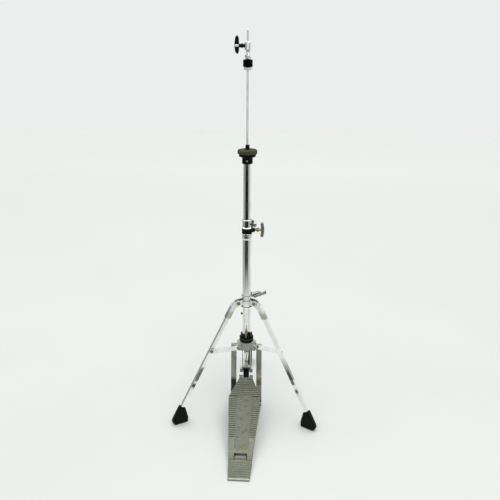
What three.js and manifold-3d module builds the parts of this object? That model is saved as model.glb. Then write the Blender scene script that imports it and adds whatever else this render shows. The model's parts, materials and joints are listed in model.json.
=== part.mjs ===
// A hi-hat cymbal stand: a tripod with a foot pedal that pulls a rod down a telescopic tube.
// Millimetres, +Z up. The tube's axis is x = y = 0 while the pieces are made, the pedal points to -Y and
// the back leg to +Y. The last lines move the whole stand so that its origin is on the floor under the
// centre of its box.
import * as THREE from "three";
import { mergeVertices } from "three/addons/utils/BufferGeometryUtils.js";
import Module from "manifold-3d";

const wasm = await Module();
wasm.setup();

// ---------- driving dimensions ----------
const gap = 0.3; // between pieces that touch
const slip = 0.3; // radial clearance of what turns or slides
const roundSides = 24; // of the large turned pieces

// telescopic tubes and pull rod
const lowerTubeRadius = 12.7;
const lowerTubeWall = 1.3;
const lowerTubeTop = 554;
const upperTubeWall = 1.3;
const upperTubeBottom = 345;
const seatHeight = 768; // top of the seat's flange, where the lower cymbal's felt lies
const pullRodRadius = 3;
const pullRodTop = 1062;
const rodJointHeight = 430; // where the upper rod screws onto the lower one

// base casting, spring housing and dial
const castingTop = 220;
const castingHeight = 34;
const bossWall = 4; // of the boss, outside the neck
const bossBottomRadius = 10;
const armHalfWidth = 28.4;
const armDepth = 22;
const neckWall = 2;
const neckHeight = 18; // over the casting
const capWall = 0.7; // outside the neck
const capRise = 6; // over the neck
const stopLugRise = 8; // over the cap
const dialWall = 4.2;
const dialHeight = 15;
const lockScrewRise = 11; // over the cap

// legs, as seen in the plane through the tube's axis and one leg
const legTilt = THREE.MathUtils.degToRad(29.7); // from vertical
const legPivotHeight = 350;
const legPivotReach = 11; // out from the collar
const legOffset = 7.4; // from the pivot out to the leg's middle line
const legEndHeight = 14; // the leg stops inside its rubber foot
const legWidth = 8;
const legDepth = 10.5;
const legWall = 1.2;
const bracketWall = 1.5;
const bracketLength = 50;
const braceRootReach = 10; // out from the casting's boss
const braceRootDrop = 15.5; // below the casting's top
const braceTipDown = 158.6; // from the leg's pivot to the brace's rivet
const braceThickness = 3;
const braceWidth = 13;
const footWall = 2.5;
const footLength = 46; // along the leg

// collar that the legs hang on, with its clamp
const collarWall = 5.5;
const collarHeight = 18;
const collarDrop = 14; // of the collar's foot below the legs' pivots
const rimWall = 2.5;
const rimHeight = 14;
const earThickness = 2;
const earReach = 7.5; // past the pivot
const rivetRadius = 2.5;
const rivetHeadRadius = 4.6;
const rivetHeadHeight = 1.8;
const clampAzimuth = THREE.MathUtils.degToRad(25);
const clampBoltReach = 19.5; // out from the collar
const clampBoltRise = 16; // above the legs' pivots
const stopScrewDrop = 28; // below the collar

// height clamp and memory lock
const clampRingWall = 1.2;
const clampRingHeight = 17;
const bushingHeight = 14;
const memoryLockWall = 2.2;
const memoryLockHeight = 24;
const tBoltRadius = 4;
const tBoltReach = 22; // out from the clamp
const tHandleHeight = 38;

// seat of the lower cymbal
const seatRadius = 22;
const seatFlange = 7;
const seatCollarWall = 2.4;
const seatCollarHeight = 17;
const seatFeltRadius = 26;
const seatFeltHeight = 9;
const sleeveRadius = 5.6;
const sleeveRise = 24; // above the flange

// clutch, from its bottom nut up
const clutchBottom = 971;
const clutchNutRadius = 9.5;
const clutchNutHeight = 7;
const clutchFeltRadius = 11.8;
const clutchFeltHeight = 8.2;
const lockNutRadius = 8;
const lockNutHeight = 10;
const clutchTubeRadius = 5;
const clutchNeck = 10.5;
const clutchBodyRadius = 8.6;
const clutchBodyHeight = 20;
const clutchWingReach = 12.5; // out from the body
const clutchWingUp = 24;
const clutchWingDown = 19;

// pedal
const pedalPivotHeight = 10.5; // of the hinge between the heel plate and the footboard
const toeSetback = 8; // from the tube's axis to the footboard's end, along the floor
const toeRise = 89.6; // of the footboard's end above its hinge
const boardLength = 257;
const boardThickness = 5;
const boardHeelHalfWidth = 31;
const boardHalfWidth = 46;
const boardTaper = 74; // from the widest place to the toe
const boardNeckHalfWidth = 20;
const boardNeckLength = 10;
const strapNotchSlip = 1.3;
const strapNotchDepth = 9;
const tabHalfWidth = 17;
const heelLength = 67; // from the hinge to the front lip
const heelHalfWidth = 27.5;
const heelLip = 5;
const heelTop = 14;
const knuckleRadius = 6.3;
const hingePinRadius = 2.5;
const barWidth = 16;
const barThickness = 3.6;
const barOffset = 37; // from the tube's axis, at the casting
const barSplay = 2.5; // further out at the floor
const barHeelOffset = 17.5; // from the middle, at the bars' heel ends
const barTuck = 37; // of the bars under the heel plate, past the hinge
const barBend = 12;
const barTopDrop = 16; // below the casting's top
const barBoltDrop = 22; // below the casting's top

// pull linkage
const strapPinDrop = 33.7; // below the rod's connector
const strapPinRadius = 2.8;
const strapPinSlip = 1.7;
const strapThickness = 2;
const strapWidth = 17.5;
const strapSetback = 5; // of the strap's anchor from the toe
const yokeHalfWidth = 19;
const yokeDepth = 13;
const yokeRise = 12.2; // of the bridge over the strap's pin
const yokeShoulder = 6.3; // of the cheeks over the strap's pin
const yokeRiser = 2; // wall between a cheek and the bridge
const yokeStemRadius = 4.8;
const yokePlate = 4;
const yokeDrop = 6.3; // under the strap's pin
const guideRodSlip = 0.8;
const guideRodRadius = 1.6;
const guideRodRise = 12; // into the neck
const connectorDrop = 2; // below the casting
const connectorHeight = 32;
const connectorWall = 4; // at its widest
const connectorFootWall = 2.4;
const rodNutHeight = 6;
const rodNutRadius = 6;
const springRadius = 7;
const springWire = 1.1;
const springLength = 84;
const springTurns = 7;

// ---------- what follows from them ----------
const upperTubeRadius = lowerTubeRadius - lowerTubeWall - slip;
const tubeSlideRadius = upperTubeRadius + slip;
const tubeFitRadius = lowerTubeRadius + gap;
const rodFitRadius = pullRodRadius + gap;
const neckRadius = tubeFitRadius + 3;
const castingBottom = castingTop - castingHeight;
const neckTop = castingTop + neckHeight;
const capTop = neckTop + capRise;
const lockScrewHeight = capTop + lockScrewRise;
const braceRootHeight = castingTop - braceRootDrop;
const barBoltHeight = castingTop - barBoltDrop;
const springTop = castingTop + springLength;
const guideRodTop = castingTop + guideRodRise;
const connectorTop = castingBottom - connectorDrop;
const connectorBottom = connectorTop - connectorHeight;
const strapPinHeight = connectorBottom - strapPinDrop;
const capRadius = neckRadius + gap + capWall;
const dialRadius = neckRadius + slip + dialWall;
const bossTopRadius = neckRadius + bossWall;
const guideRodOffset = neckRadius - neckWall - guideRodSlip - guideRodRadius;
const clampRingRadius = tubeFitRadius + clampRingWall;
const collarRadius = tubeFitRadius + collarWall;
const rimRadius = tubeFitRadius + rimWall;
const memoryLockRadius = tubeSlideRadius + memoryLockWall;
const seatCollarRadius = tubeSlideRadius + seatCollarWall;
const collarLow = legPivotHeight - collarDrop;
const stopScrewHeight = collarLow - stopScrewDrop;
const clampBoltAt = collarRadius + clampBoltReach;
const clampBoltHeight = legPivotHeight + clampBoltRise;
const tHandleAt = clampRingRadius + tBoltReach;
const sleeveTop = seatHeight + sleeveRise;
const legPivot = [collarRadius + legPivotReach, legPivotHeight]; // distance from the tube's axis, height
const braceRoot = [bossTopRadius + braceRootReach, braceRootHeight];
const footThickness = legWidth + 2 * footWall;
const boardTilt = Math.asin(toeRise / boardLength);
const pedalPivot = [-toeSetback - boardLength * Math.cos(boardTilt), pedalPivotHeight]; // y, z
const boardWidest = boardLength - boardTaper;
const boardNeck = boardLength - boardNeckLength;
const strapNotchHalfWidth = strapWidth / 2 + strapNotchSlip;
const heelFront = pedalPivot[0] - heelLength;
const barEnd = pedalPivot[0] - barTuck;
const barRun = (barOffset + barSplay - barHeelOffset) / (-barBend - barEnd); // sideways along the floor
const strapAnchor = boardLength - strapSetback; // along the footboard
const yokeTop = strapPinHeight + yokeRise;
const yokeBottom = strapPinHeight - yokeDrop;
const along = [Math.sin(legTilt), -Math.cos(legTilt)]; // down a leg
const outward = [Math.cos(legTilt), Math.sin(legTilt)]; // across a leg, away from the tube
const legStart = [legPivot[0] + legOffset * outward[0], legPivot[1] + legOffset * outward[1]];
const legEnd = (legStart[1] - legEndHeight) / Math.cos(legTilt); // along the leg from legStart
const braceSide = legWidth / 2 + gap; // the brace lies on the leg's side

// ---------- shape helpers ----------
function solidOf(geometry) {
  const bare = geometry.clone();
  bare.deleteAttribute("normal");
  bare.deleteAttribute("uv");
  const merged = mergeVertices(bare, 1e-4);
  return new wasm.Manifold(
    new wasm.Mesh({
      numProp: 3,
      vertProperties: new Float32Array(merged.attributes.position.array),
      triVerts: new Uint32Array(merged.index.array),
    }),
  );
}

function geometryOf(solid) {
  const mesh = solid.getMesh();
  const geometry = new THREE.BufferGeometry();
  geometry.setAttribute("position", new THREE.BufferAttribute(mesh.vertProperties, 3));
  geometry.setIndex(new THREE.BufferAttribute(mesh.triVerts, 1));
  geometry.computeVertexNormals();
  return geometry;
}

function join(first, ...others) {
  return geometryOf(others.reduce((sum, one) => sum.add(solidOf(one)), solidOf(first)));
}

function cut(base, ...tools) {
  return geometryOf(tools.reduce((rest, tool) => rest.subtract(solidOf(tool)), solidOf(base)));
}

// A profile of [radius, height] pairs turned about the Z axis.
function turned(profile, sides = roundSides) {
  const points = profile.map(([radius, height]) => new THREE.Vector2(radius, height));
  return new THREE.LatheGeometry(points, sides).rotateX(Math.PI / 2);
}

function disc(radius, low, high, sides = roundSides) {
  return turned([[0, low], [radius, low], [radius, high], [0, high]], sides);
}

function ring(inner, outer, low, high, sides = roundSides) {
  return turned([[inner, low], [outer, low], [outer, high], [inner, high], [inner, low]], sides);
}

function block(low, high) {
  const size = high.map((value, i) => value - low[i]);
  const middle = high.map((value, i) => (value + low[i]) / 2);
  return new THREE.BoxGeometry(...size).translate(...middle);
}

function shapeOf(outline) {
  return new THREE.Shape(outline.map(([x, y]) => new THREE.Vector2(x, y)));
}

function extruded(outline, depth) {
  return new THREE.ExtrudeGeometry(shapeOf(outline), { depth, bevelEnabled: false, curveSegments: 8 });
}

// An outline in the XZ plane with a thickness from y = low to y = high.
function acrossY(outline, low, high) {
  return extruded(outline, high - low).rotateX(Math.PI / 2).translate(0, high, 0);
}

// An outline in the YZ plane with a thickness from x = low to x = high.
function acrossX(outline, low, high) {
  const turn = new THREE.Matrix4().makeBasis(
    new THREE.Vector3(0, 1, 0),
    new THREE.Vector3(0, 0, 1),
    new THREE.Vector3(1, 0, 0),
  );
  return extruded(outline, high - low).applyMatrix4(turn).translate(low, 0, 0);
}

// A round bar between two points.
function bar(radius, from, to, sides = 16) {
  const start = new THREE.Vector3(...from);
  const way = new THREE.Vector3(...to).sub(start);
  const geometry = new THREE.CylinderGeometry(radius, radius, way.length(), sides);
  geometry.translate(0, way.length() / 2, 0);
  geometry.applyQuaternion(
    new THREE.Quaternion().setFromUnitVectors(new THREE.Vector3(0, 1, 0), way.clone().normalize()),
  );
  return geometry.translate(...from);
}

// The hole for a rivet at [radius, height] in the plane of a leg.
function rivetHole([x, z]) {
  return bar(rivetRadius + gap, [x, -20, z], [x, 20, z]);
}

function arc(centre, radius, start, end, steps) {
  return Array.from({ length: steps + 1 }, (_, i) => {
    const angle = THREE.MathUtils.degToRad(start + ((end - start) * i) / steps);
    return [centre[0] + radius * Math.cos(angle), centre[1] + radius * Math.sin(angle)];
  });
}

// ---------- materials and nodes ----------
function finish(color, roughness, metalness) {
  return new THREE.MeshStandardMaterial({ color, roughness, metalness });
}

const chrome = finish(0xdfe3e4, 0.12, 1);
const castAluminium = finish(0xa9aaa0, 0.55, 0.7);
const steel = finish(0x9fa29c, 0.4, 0.9);
const brass = finish(0xb09a58, 0.35, 1);
const blackPlastic = finish(0x18181a, 0.5, 0);
const blackMetal = finish(0x1c1c1c, 0.4, 0.6);
const rubber = finish(0x141414, 0.8, 0);
const greyFelt = finish(0x5e5d50, 1, 0);
const blackFelt = finish(0x1b1b1b, 1, 0);
const nylon = finish(0x202022, 0.7, 0);

const stand = new THREE.Group();

function add(name, geometry, material, parent = stand) {
  const mesh = new THREE.Mesh(geometry, material);
  mesh.name = name;
  parent.add(mesh);
}

// ---------- telescopic tubes, pull rods and return spring ----------
function addTubes() {
  const tube = ring(lowerTubeRadius - lowerTubeWall, lowerTubeRadius, neckTop + gap, lowerTubeTop);
  const screwHole = bar(2.3, [-lowerTubeRadius - 2, 0, stopScrewHeight], [0, 0, stopScrewHeight], 12);
  add("lower_tube", cut(tube, screwHole), chrome);
  const upperTop = seatHeight - seatFlange - gap;
  const upperBore = upperTubeRadius - upperTubeWall;
  add("upper_tube", ring(upperBore, upperTubeRadius, upperTubeBottom, upperTop), chrome);
  const screw = turned([
    [0, lowerTubeRadius - lowerTubeWall + gap],
    [2, lowerTubeRadius - lowerTubeWall + gap],
    [2, lowerTubeRadius + gap],
    [3.2, lowerTubeRadius + gap],
    [3.2, lowerTubeRadius + 3],
    [2.4, lowerTubeRadius + 4],
    [0, lowerTubeRadius + 4],
  ], 12);
  add("tube_stop_screw", screw.rotateY(-Math.PI / 2).translate(0, 0, stopScrewHeight), blackMetal);
}

function addPullRods() {
  const stopLow = springTop + gap;
  const lower = turned([
    [0, yokeTop - yokePlate + gap],
    [pullRodRadius, yokeTop - yokePlate + gap],
    [pullRodRadius, stopLow],
    [springRadius + springWire, stopLow],
    [springRadius + springWire, stopLow + 6],
    [pullRodRadius, stopLow + 6],
    [pullRodRadius, rodJointHeight],
    [0, rodJointHeight],
  ], 16);
  add("lower_pull_rod", lower, steel);
  const upper = turned([
    [0, rodJointHeight + gap],
    [pullRodRadius + 1.4, rodJointHeight + gap],
    [pullRodRadius + 1.4, rodJointHeight + 18],
    [pullRodRadius, rodJointHeight + 20],
    [pullRodRadius, pullRodTop - 1],
    [pullRodRadius - 1, pullRodTop],
    [0, pullRodTop],
  ], 16);
  add("upper_pull_rod", upper, chrome);
}

class Helix extends THREE.Curve {
  getPoint(t) {
    const angle = t * springTurns * 2 * Math.PI;
    const low = castingTop + gap + springWire;
    const high = springTop - springWire;
    return new THREE.Vector3(
      springRadius * Math.cos(angle), springRadius * Math.sin(angle), low + (high - low) * t);
  }
}

function addSpring() {
  const section = new THREE.Shape().absarc(0, 0, springWire, 0, 2 * Math.PI);
  const coil = new THREE.ExtrudeGeometry(section, {
    steps: springTurns * 11,
    curveSegments: 3,
    bevelEnabled: false,
    extrudePath: new Helix(),
  });
  add("return_spring", coil, steel);
}

// ---------- base casting, spring housing and tension dial ----------
function addBase() {
  const boss = turned([
    [0, castingBottom],
    [bossBottomRadius, castingBottom],
    [bossBottomRadius + 3, castingBottom + 5],
    [bossTopRadius - 3, castingBottom + 14],
    [bossTopRadius, castingTop - 6],
    [bossTopRadius, castingTop - 2],
    [bossTopRadius - 2, castingTop],
    [0, castingTop],
  ]);
  const arms = acrossY([
    [-armHalfWidth, castingTop - 24],
    [-armHalfWidth + 6, castingTop - 24],
    [-bossTopRadius + 5, castingTop - 31],
    [bossTopRadius - 5, castingTop - 31],
    [armHalfWidth - 6, castingTop - 24],
    [armHalfWidth, castingTop - 24],
    [armHalfWidth, castingTop - 6],
    [bossTopRadius - 4, castingTop - 1],
    [-bossTopRadius + 4, castingTop - 1],
    [-armHalfWidth, castingTop - 6],
  ], -armDepth / 2, armDepth / 2);
  const neck = disc(neckRadius, castingTop - 1, neckTop);
  const ears = block(
    [-barOffset - barWidth / 2, barThickness / 2 + gap, barBoltHeight - 8],
    [barOffset + barWidth / 2, barThickness / 2 + 6, barBoltHeight + 7],
  );
  let casting = join(boss, arms, neck, ears);
  for (const [, azimuth] of legs) {
    const lug = acrossY([
      [10, braceRoot[1] - 8],
      [braceRoot[0] + 3, braceRoot[1] - 8],
      ...arc(braceRoot, 7, -60, 60, 4),
      [braceRoot[0] + 3, braceRoot[1] + 7.5],
      [10, braceRoot[1] + 7.5],
    ], -legWidth / 2, legWidth / 2).rotateZ(azimuth);
    casting = join(casting, lug);
  }
  const holes = [
    disc(rodFitRadius, 0, neckTop + 9, 16),
    disc(neckRadius - neckWall, castingTop, neckTop - 4),
    disc(tubeSlideRadius - 1, castingTop, neckTop + 9),
    disc(springRadius + springWire + slip, castingTop - gap, castingTop + 9, 24),
  ];
  for (const side of [-1, 1]) {
    const hole = disc(guideRodRadius + slip + 0.2, 0, castingTop + 9, 12);
    holes.push(hole.translate(side * guideRodOffset, 0, 0));
    const boltAt = side * barOffset;
    holes.push(bar(2.8, [boltAt, 0, barBoltHeight], [boltAt, armDepth, barBoltHeight], 12));
  }
  for (const [, azimuth] of legs) {
    holes.push(rivetHole(braceRoot).rotateZ(azimuth));
  }
  // the braces swing up on the counter-clockwise side of their lugs, so the casting leaves that side free
  const swingRadius = braceWidth / 2 + 1;
  const swingEnd = braceSide + braceThickness + rivetHeadHeight + 1;
  for (const [, azimuth] of legs) {
    const swing = acrossY([
      ...arc(braceRoot, swingRadius, 180, 270, 6),
      [braceRoot[0] + 2 * armHalfWidth, braceRoot[1] - swingRadius - armHalfWidth],
      [braceRoot[0] + 2 * armHalfWidth, castingTop + 1],
      [braceRoot[0] - swingRadius, castingTop + 1],
    ], legWidth / 2, swingEnd);
    holes.push(swing.rotateZ(azimuth));
  }
  add("base_casting", cut(casting, ...holes), castAluminium);

  const capSkirt = ring(neckRadius + gap, capRadius, castingTop + dialHeight + 2 * gap, capTop);
  const capRoof = ring(tubeFitRadius, capRadius, neckTop + gap, capTop);
  const bossFront = -capRadius - 1.5;
  const screwBoss = bar(4.6, [0, bossFront + 3, lockScrewHeight], [0, bossFront, lockScrewHeight]);
  const tongue = block([-4.6, bossFront, capTop - 6], [4.6, bossFront + 3, lockScrewHeight]);
  const stopLug = block([6, -14, capTop - 4], [13, -9, capTop + stopLugRise]);
  const screwHole = bar(2.3, [0, bossFront - 3, lockScrewHeight], [0, 0, lockScrewHeight], 12);
  const bore = disc(tubeFitRadius, neckTop + gap, capTop + 20);
  add("spring_cap", cut(join(capSkirt, capRoof, screwBoss, tongue, stopLug), screwHole, bore), blackMetal);

  const hubEnd = bossFront - 4.5;
  const shank = bar(2, [0, -tubeFitRadius, lockScrewHeight], [0, hubEnd + 1, lockScrewHeight], 12);
  const hub = bar(3.6, [0, bossFront - gap, lockScrewHeight], [0, hubEnd, lockScrewHeight]);
  const leafOutline = [
    [-15, 1.8], [-10, 3.6], [10, 4], [17, 2.4], [17, -0.4], [8, -3.6], [-8, -3.2], [-15, -0.9],
  ].map(([up, out]) => [hubEnd + out, lockScrewHeight + up]);
  add("tension_lock_screw", join(shank, hub, acrossX(leafOutline, -1.5, 1.5)), brass);

  const dialBore = neckRadius + slip;
  const dial = turned([
    [dialBore, castingTop + gap],
    [dialRadius - 2, castingTop + gap],
    [dialRadius, castingTop + 3],
    [dialRadius, castingTop + dialHeight - 2],
    [dialRadius - 2, castingTop + dialHeight],
    [dialBore, castingTop + dialHeight],
    [dialBore, castingTop + gap],
  ]);
  const flutes = Array.from({ length: 12 }, (_, i) => {
    const flute = disc(1.6, castingTop, castingTop + dialHeight + 1, 6);
    return flute.translate(dialRadius + 0.6, 0, 0).rotateZ((i / 12) * 2 * Math.PI);
  });
  add("tension_dial", cut(dial, ...flutes), blackPlastic);
}

// ---------- tripod ----------
const legs = [
  ["left", THREE.MathUtils.degToRad(210)],
  ["right", THREE.MathUtils.degToRad(330)],
  ["back", THREE.MathUtils.degToRad(90)],
];

// A point so far along a leg and so far out from its middle line, as [radius, height].
function onLeg(distance, out) {
  return [
    legStart[0] + distance * along[0] + out * outward[0],
    legStart[1] + distance * along[1] + out * outward[1],
  ];
}

// A bar of a section drawn across a leg, between two distances along it.
function alongLeg(section, from, to) {
  const start = onLeg(to, 0);
  const place = new THREE.Matrix4().makeBasis(
    new THREE.Vector3(outward[0], 0, outward[1]),
    new THREE.Vector3(0, 1, 0),
    new THREE.Vector3(-along[0], 0, -along[1]),
  ).setPosition(start[0], 0, start[1]);
  return extruded(section, to - from).applyMatrix4(place);
}

function rectangle(low, high) {
  return [[low[0], low[1]], [high[0], low[1]], [high[0], high[1]], [low[0], high[1]]];
}

// Where the brace's rivet is, from the leg's pivot, at rest.
function braceTip() {
  const down = Math.sqrt(braceTipDown ** 2 - legOffset ** 2);
  return onLeg(down, 0);
}

function rivet(at, from, to, headSide) {
  const shank = bar(rivetRadius, [at[0], from, at[1]], [at[0], to, at[1]], 16);
  const faces = headSide === 0 ? [[from, -1], [to, 1]] : [[headSide > 0 ? to : from, headSide]];
  const heads = faces.map(([face, way]) => bar(
    rivetHeadRadius,
    [at[0], face - way * 0.01, at[1]],
    [at[0], face + way * rivetHeadHeight, at[1]],
    16,
  ));
  return join(shank, ...heads);
}

function addLeg(name, azimuth) {
  const group = new THREE.Group();
  group.rotation.z = azimuth;
  stand.add(group);
  const half = legWidth / 2;
  const tip = braceTip();

  const channel = [
    [-legDepth / 2, -half],
    [legDepth / 2, -half],
    [legDepth / 2, half],
    [-legDepth / 2, half],
    [-legDepth / 2, half - legWall],
    [legDepth / 2 - legWall, half - legWall],
    [legDepth / 2 - legWall, -half + legWall],
    [-legDepth / 2, -half + legWall],
  ];
  add("leg_" + name, alongLeg(channel, 14, legEnd), chrome, group);

  const bracketHalf = half + gap + bracketWall;
  const side = legDepth / 2 + gap + bracketWall;
  const outline = [
    ...arc(legPivot, 8, 60, 235, 8),
    onLeg(20, -side),
    onLeg(bracketLength, -side),
    onLeg(bracketLength + 3, side),
    onLeg(16, side),
    onLeg(6, side - 3),
  ];
  const inside = alongLeg(rectangle([-60, -half - gap], [legDepth / 2 + gap, half + gap]), -30, legEnd);
  const bracket = cut(acrossY(outline, -bracketHalf, bracketHalf), inside, rivetHole(legPivot));
  add("knee_bracket_" + name, bracket, chrome, group);

  const soleInner = onLeg(legEnd - 40, 0)[0] - 18;
  const soleOuter = onLeg(legEnd, 0)[0] + 1;
  const boot = acrossY([
    [soleInner + 2, 0],
    [soleOuter, 0],
    [soleOuter + 9, 10],
    [soleOuter + 7, 18],
    onLeg(legEnd - footLength, 9),
    onLeg(legEnd - footLength, -9),
    [soleInner, 14],
  ], -footThickness / 2, footThickness / 2);
  const pocket = alongLeg(
    rectangle([-legDepth / 2 - gap, -half - gap], [legDepth / 2 + gap, half + gap]), 100, legEnd + gap);
  add("foot_" + name, cut(boot, pocket), rubber, group);

  const earOuter = bracketHalf + gap + earThickness;
  add("collar_rivet_" + name, rivet(legPivot, -earOuter - gap, earOuter + gap, 0), brass, group);

  const dx = tip[0] - braceRoot[0];
  const dz = tip[1] - braceRoot[1];
  const length = Math.hypot(dx, dz);
  const strip = [
    ...arc([0, 0], braceWidth / 2, 90, 270, 8),
    ...arc([length, 0], braceWidth / 2, -90, 90, 8),
  ];
  const ends = [0, length].map((x) => bar(rivetRadius + gap, [x, -1, 0], [x, braceThickness + 1, 0], 16));
  const brace = cut(acrossY(strip, 0, braceThickness), ...ends);
  brace.rotateY(-Math.atan2(dz, dx)).translate(braceRoot[0], braceSide, braceRoot[1]);
  add("brace_" + name, brace, chrome, group);

  const outside = braceSide + braceThickness + gap;
  add("brace_root_rivet_" + name, rivet(braceRoot, -half, outside, 1), steel, group);
  add("brace_tip_rivet_" + name, rivet(tip, braceSide, outside, 1), brass, group);
}

// ---------- sliding collar with its wing bolt ----------
function addCollar() {
  const rimLow = collarLow + collarHeight;
  const rimTop = rimLow + rimHeight;
  const lugNear = 1.6; // from the middle of the clamp's slit
  const lugFar = lugNear + 3;
  const bracketHalf = legWidth / 2 + gap + bracketWall;
  let collar = join(
    disc(collarRadius, collarLow, rimLow),
    disc(rimRadius, rimLow - 1, rimTop),
  );
  const ear = [
    [tubeFitRadius + 1, legPivot[1] - 8],
    [legPivot[0], legPivot[1] - 8],
    ...arc(legPivot, earReach, -60, 60, 5),
    [legPivot[0], legPivot[1] + 7],
    [tubeFitRadius + 1, legPivot[1] + 7],
  ];
  for (const [, azimuth] of legs) {
    for (const side of [-1, 1]) {
      const near = side * (bracketHalf + gap);
      const far = side * (bracketHalf + gap + earThickness);
      const plate = acrossY(ear, Math.min(near, far), Math.max(near, far));
      collar = join(collar, cut(plate, rivetHole(legPivot)).rotateZ(azimuth));
    }
  }
  for (const side of [-1, 1]) {
    const lugLow = clampBoltHeight - 6;
    const lug = block(
      [rimRadius - 2, Math.min(side * lugNear, side * lugFar), lugLow],
      [clampBoltAt + 5, Math.max(side * lugNear, side * lugFar), clampBoltHeight + 6],
    );
    collar = join(collar, lug.rotateZ(clampAzimuth));
  }
  const bore = disc(lowerTubeRadius + slip, collarLow - 1, clampBoltHeight + 9);
  const slit = block([0, -lugNear, rimLow + 1], [clampBoltAt, lugNear, rimTop + 9]).rotateZ(clampAzimuth);
  const boltHole = bar(3.4, [clampBoltAt, -9, clampBoltHeight], [clampBoltAt, 9, clampBoltHeight]);
  const notches = Array.from({ length: 6 }, (_, i) => {
    const notch = block([rimRadius - 1.2, -1.6, rimTop - 5], [rimRadius + 3, 1.6, rimTop + 1]);
    return notch.rotateZ(clampAzimuth + ((i + 0.5) / 6) * 2 * Math.PI);
  });
  add("leg_collar", cut(collar, bore, slit, boltHole.rotateZ(clampAzimuth), ...notches), chrome);

  const shank = bar(3, [0, -8, 0], [0, 8, 0], 16);
  const nut = bar(5, [0, lugFar + gap, 0], [0, 8.5, 0], 6);
  const hub = bar(5, [0, -lugFar - gap, 0], [0, -9.8, 0], 16);
  const wing = acrossY([
    [-19, 4.5], [-17, 5], [-6, 3.4], [6, 3.4], [17, 5.5], [19, 4.5],
    [19, -3.5], [17, -4.5], [6, -3.4], [-6, -3.4], [-17, -3.8], [-19, -3],
  ], -9.8, -6.5);
  const bolt = join(shank, nut, hub, wing).rotateY(THREE.MathUtils.degToRad(-12));
  bolt.translate(clampBoltAt, 0, clampBoltHeight).rotateZ(clampAzimuth);
  add("collar_wing_bolt", bolt, steel);
}

// ---------- height clamp, memory lock and their bolts ----------
function addHeightClamp() {
  const ringLow = lowerTubeTop + gap - clampRingHeight;
  const clampRing = ring(tubeFitRadius, clampRingRadius, ringLow, lowerTubeTop);
  add("height_clamp_ring", clampRing, chrome);

  const low = lowerTubeTop + gap;
  const high = low + bushingHeight;
  const middle = (low + high) / 2 + 3;
  const boss = bar(7, [upperTubeRadius + 1, 0, middle], [clampRingRadius + 7, 0, middle], 20);
  const bore = disc(tubeSlideRadius, low - 1, high + 9);
  const boltHole = bar(tBoltRadius + gap, [0, 0, middle], [tHandleAt, 0, middle], 16);
  const bushing = cut(join(disc(clampRingRadius, low, high), boss), bore, boltHole);
  const overTop = block([0, -20, high], [40, 20, high + 20]);
  add("clamp_bushing", cut(bushing, overTop), nylon);

  const shaft = bar(tBoltRadius, [tubeSlideRadius + gap, 0, middle], [tHandleAt + 4, 0, middle], 16);
  const washer = bar(5.6, [tHandleAt - 9, 0, middle], [tHandleAt - 4, 0, middle], 6);
  const handle = acrossY([
    [tHandleAt, middle - tHandleHeight / 2],
    [tHandleAt + 8, middle - tHandleHeight / 2 - 1],
    [tHandleAt + 10.5, middle - 6],
    [tHandleAt + 10.5, middle + 6],
    [tHandleAt + 8, middle + tHandleHeight / 2 + 1],
    [tHandleAt, middle + tHandleHeight / 2],
    [tHandleAt + 2, middle],
  ], -4.5, 4.5);
  add("height_t_bolt", join(shaft, washer, handle), steel);

  const lockLow = high + gap + 1;
  const lockHigh = lockLow + memoryLockHeight;
  const lugEnd = memoryLockRadius + 13;
  const screwAt = [lugEnd - 6, lockLow + 10];
  const body = disc(memoryLockRadius, lockLow, lockHigh);
  const lugs = acrossY([
    [tubeSlideRadius, lockLow + 1], [lugEnd - 2.5, lockLow + 1], [lugEnd, lockLow + 4],
    [lugEnd, lockHigh - 4], [lugEnd - 2.5, lockHigh - 1], [tubeSlideRadius, lockHigh - 1],
  ], -6.5, 6.5);
  const lockHole = disc(tubeSlideRadius, lockLow - 1, lockHigh + 1);
  const slit = block([0, -1, lockLow - 1], [40, 1, lockHigh + 1]);
  const screwHole = bar(2.8, [screwAt[0], -9, screwAt[1]], [screwAt[0], 9, screwAt[1]], 12);
  add("memory_lock", cut(join(body, lugs), lockHole, slit, screwHole), chrome);

  const screw = bar(2.5, [screwAt[0], -8, screwAt[1]], [screwAt[0], 6, screwAt[1]], 12);
  const collarHead = bar(4.4, [screwAt[0], -9.4, screwAt[1]], [screwAt[0], -6.5 - gap, screwAt[1]], 16);
  const keyHalf = 2.6;
  const keySquare = block(
    [screwAt[0] - keyHalf, -15, screwAt[1] - keyHalf],
    [screwAt[0] + keyHalf, -9, screwAt[1] + keyHalf],
  );
  add("memory_lock_screw", join(screw, collarHead, keySquare), steel);
}

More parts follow.
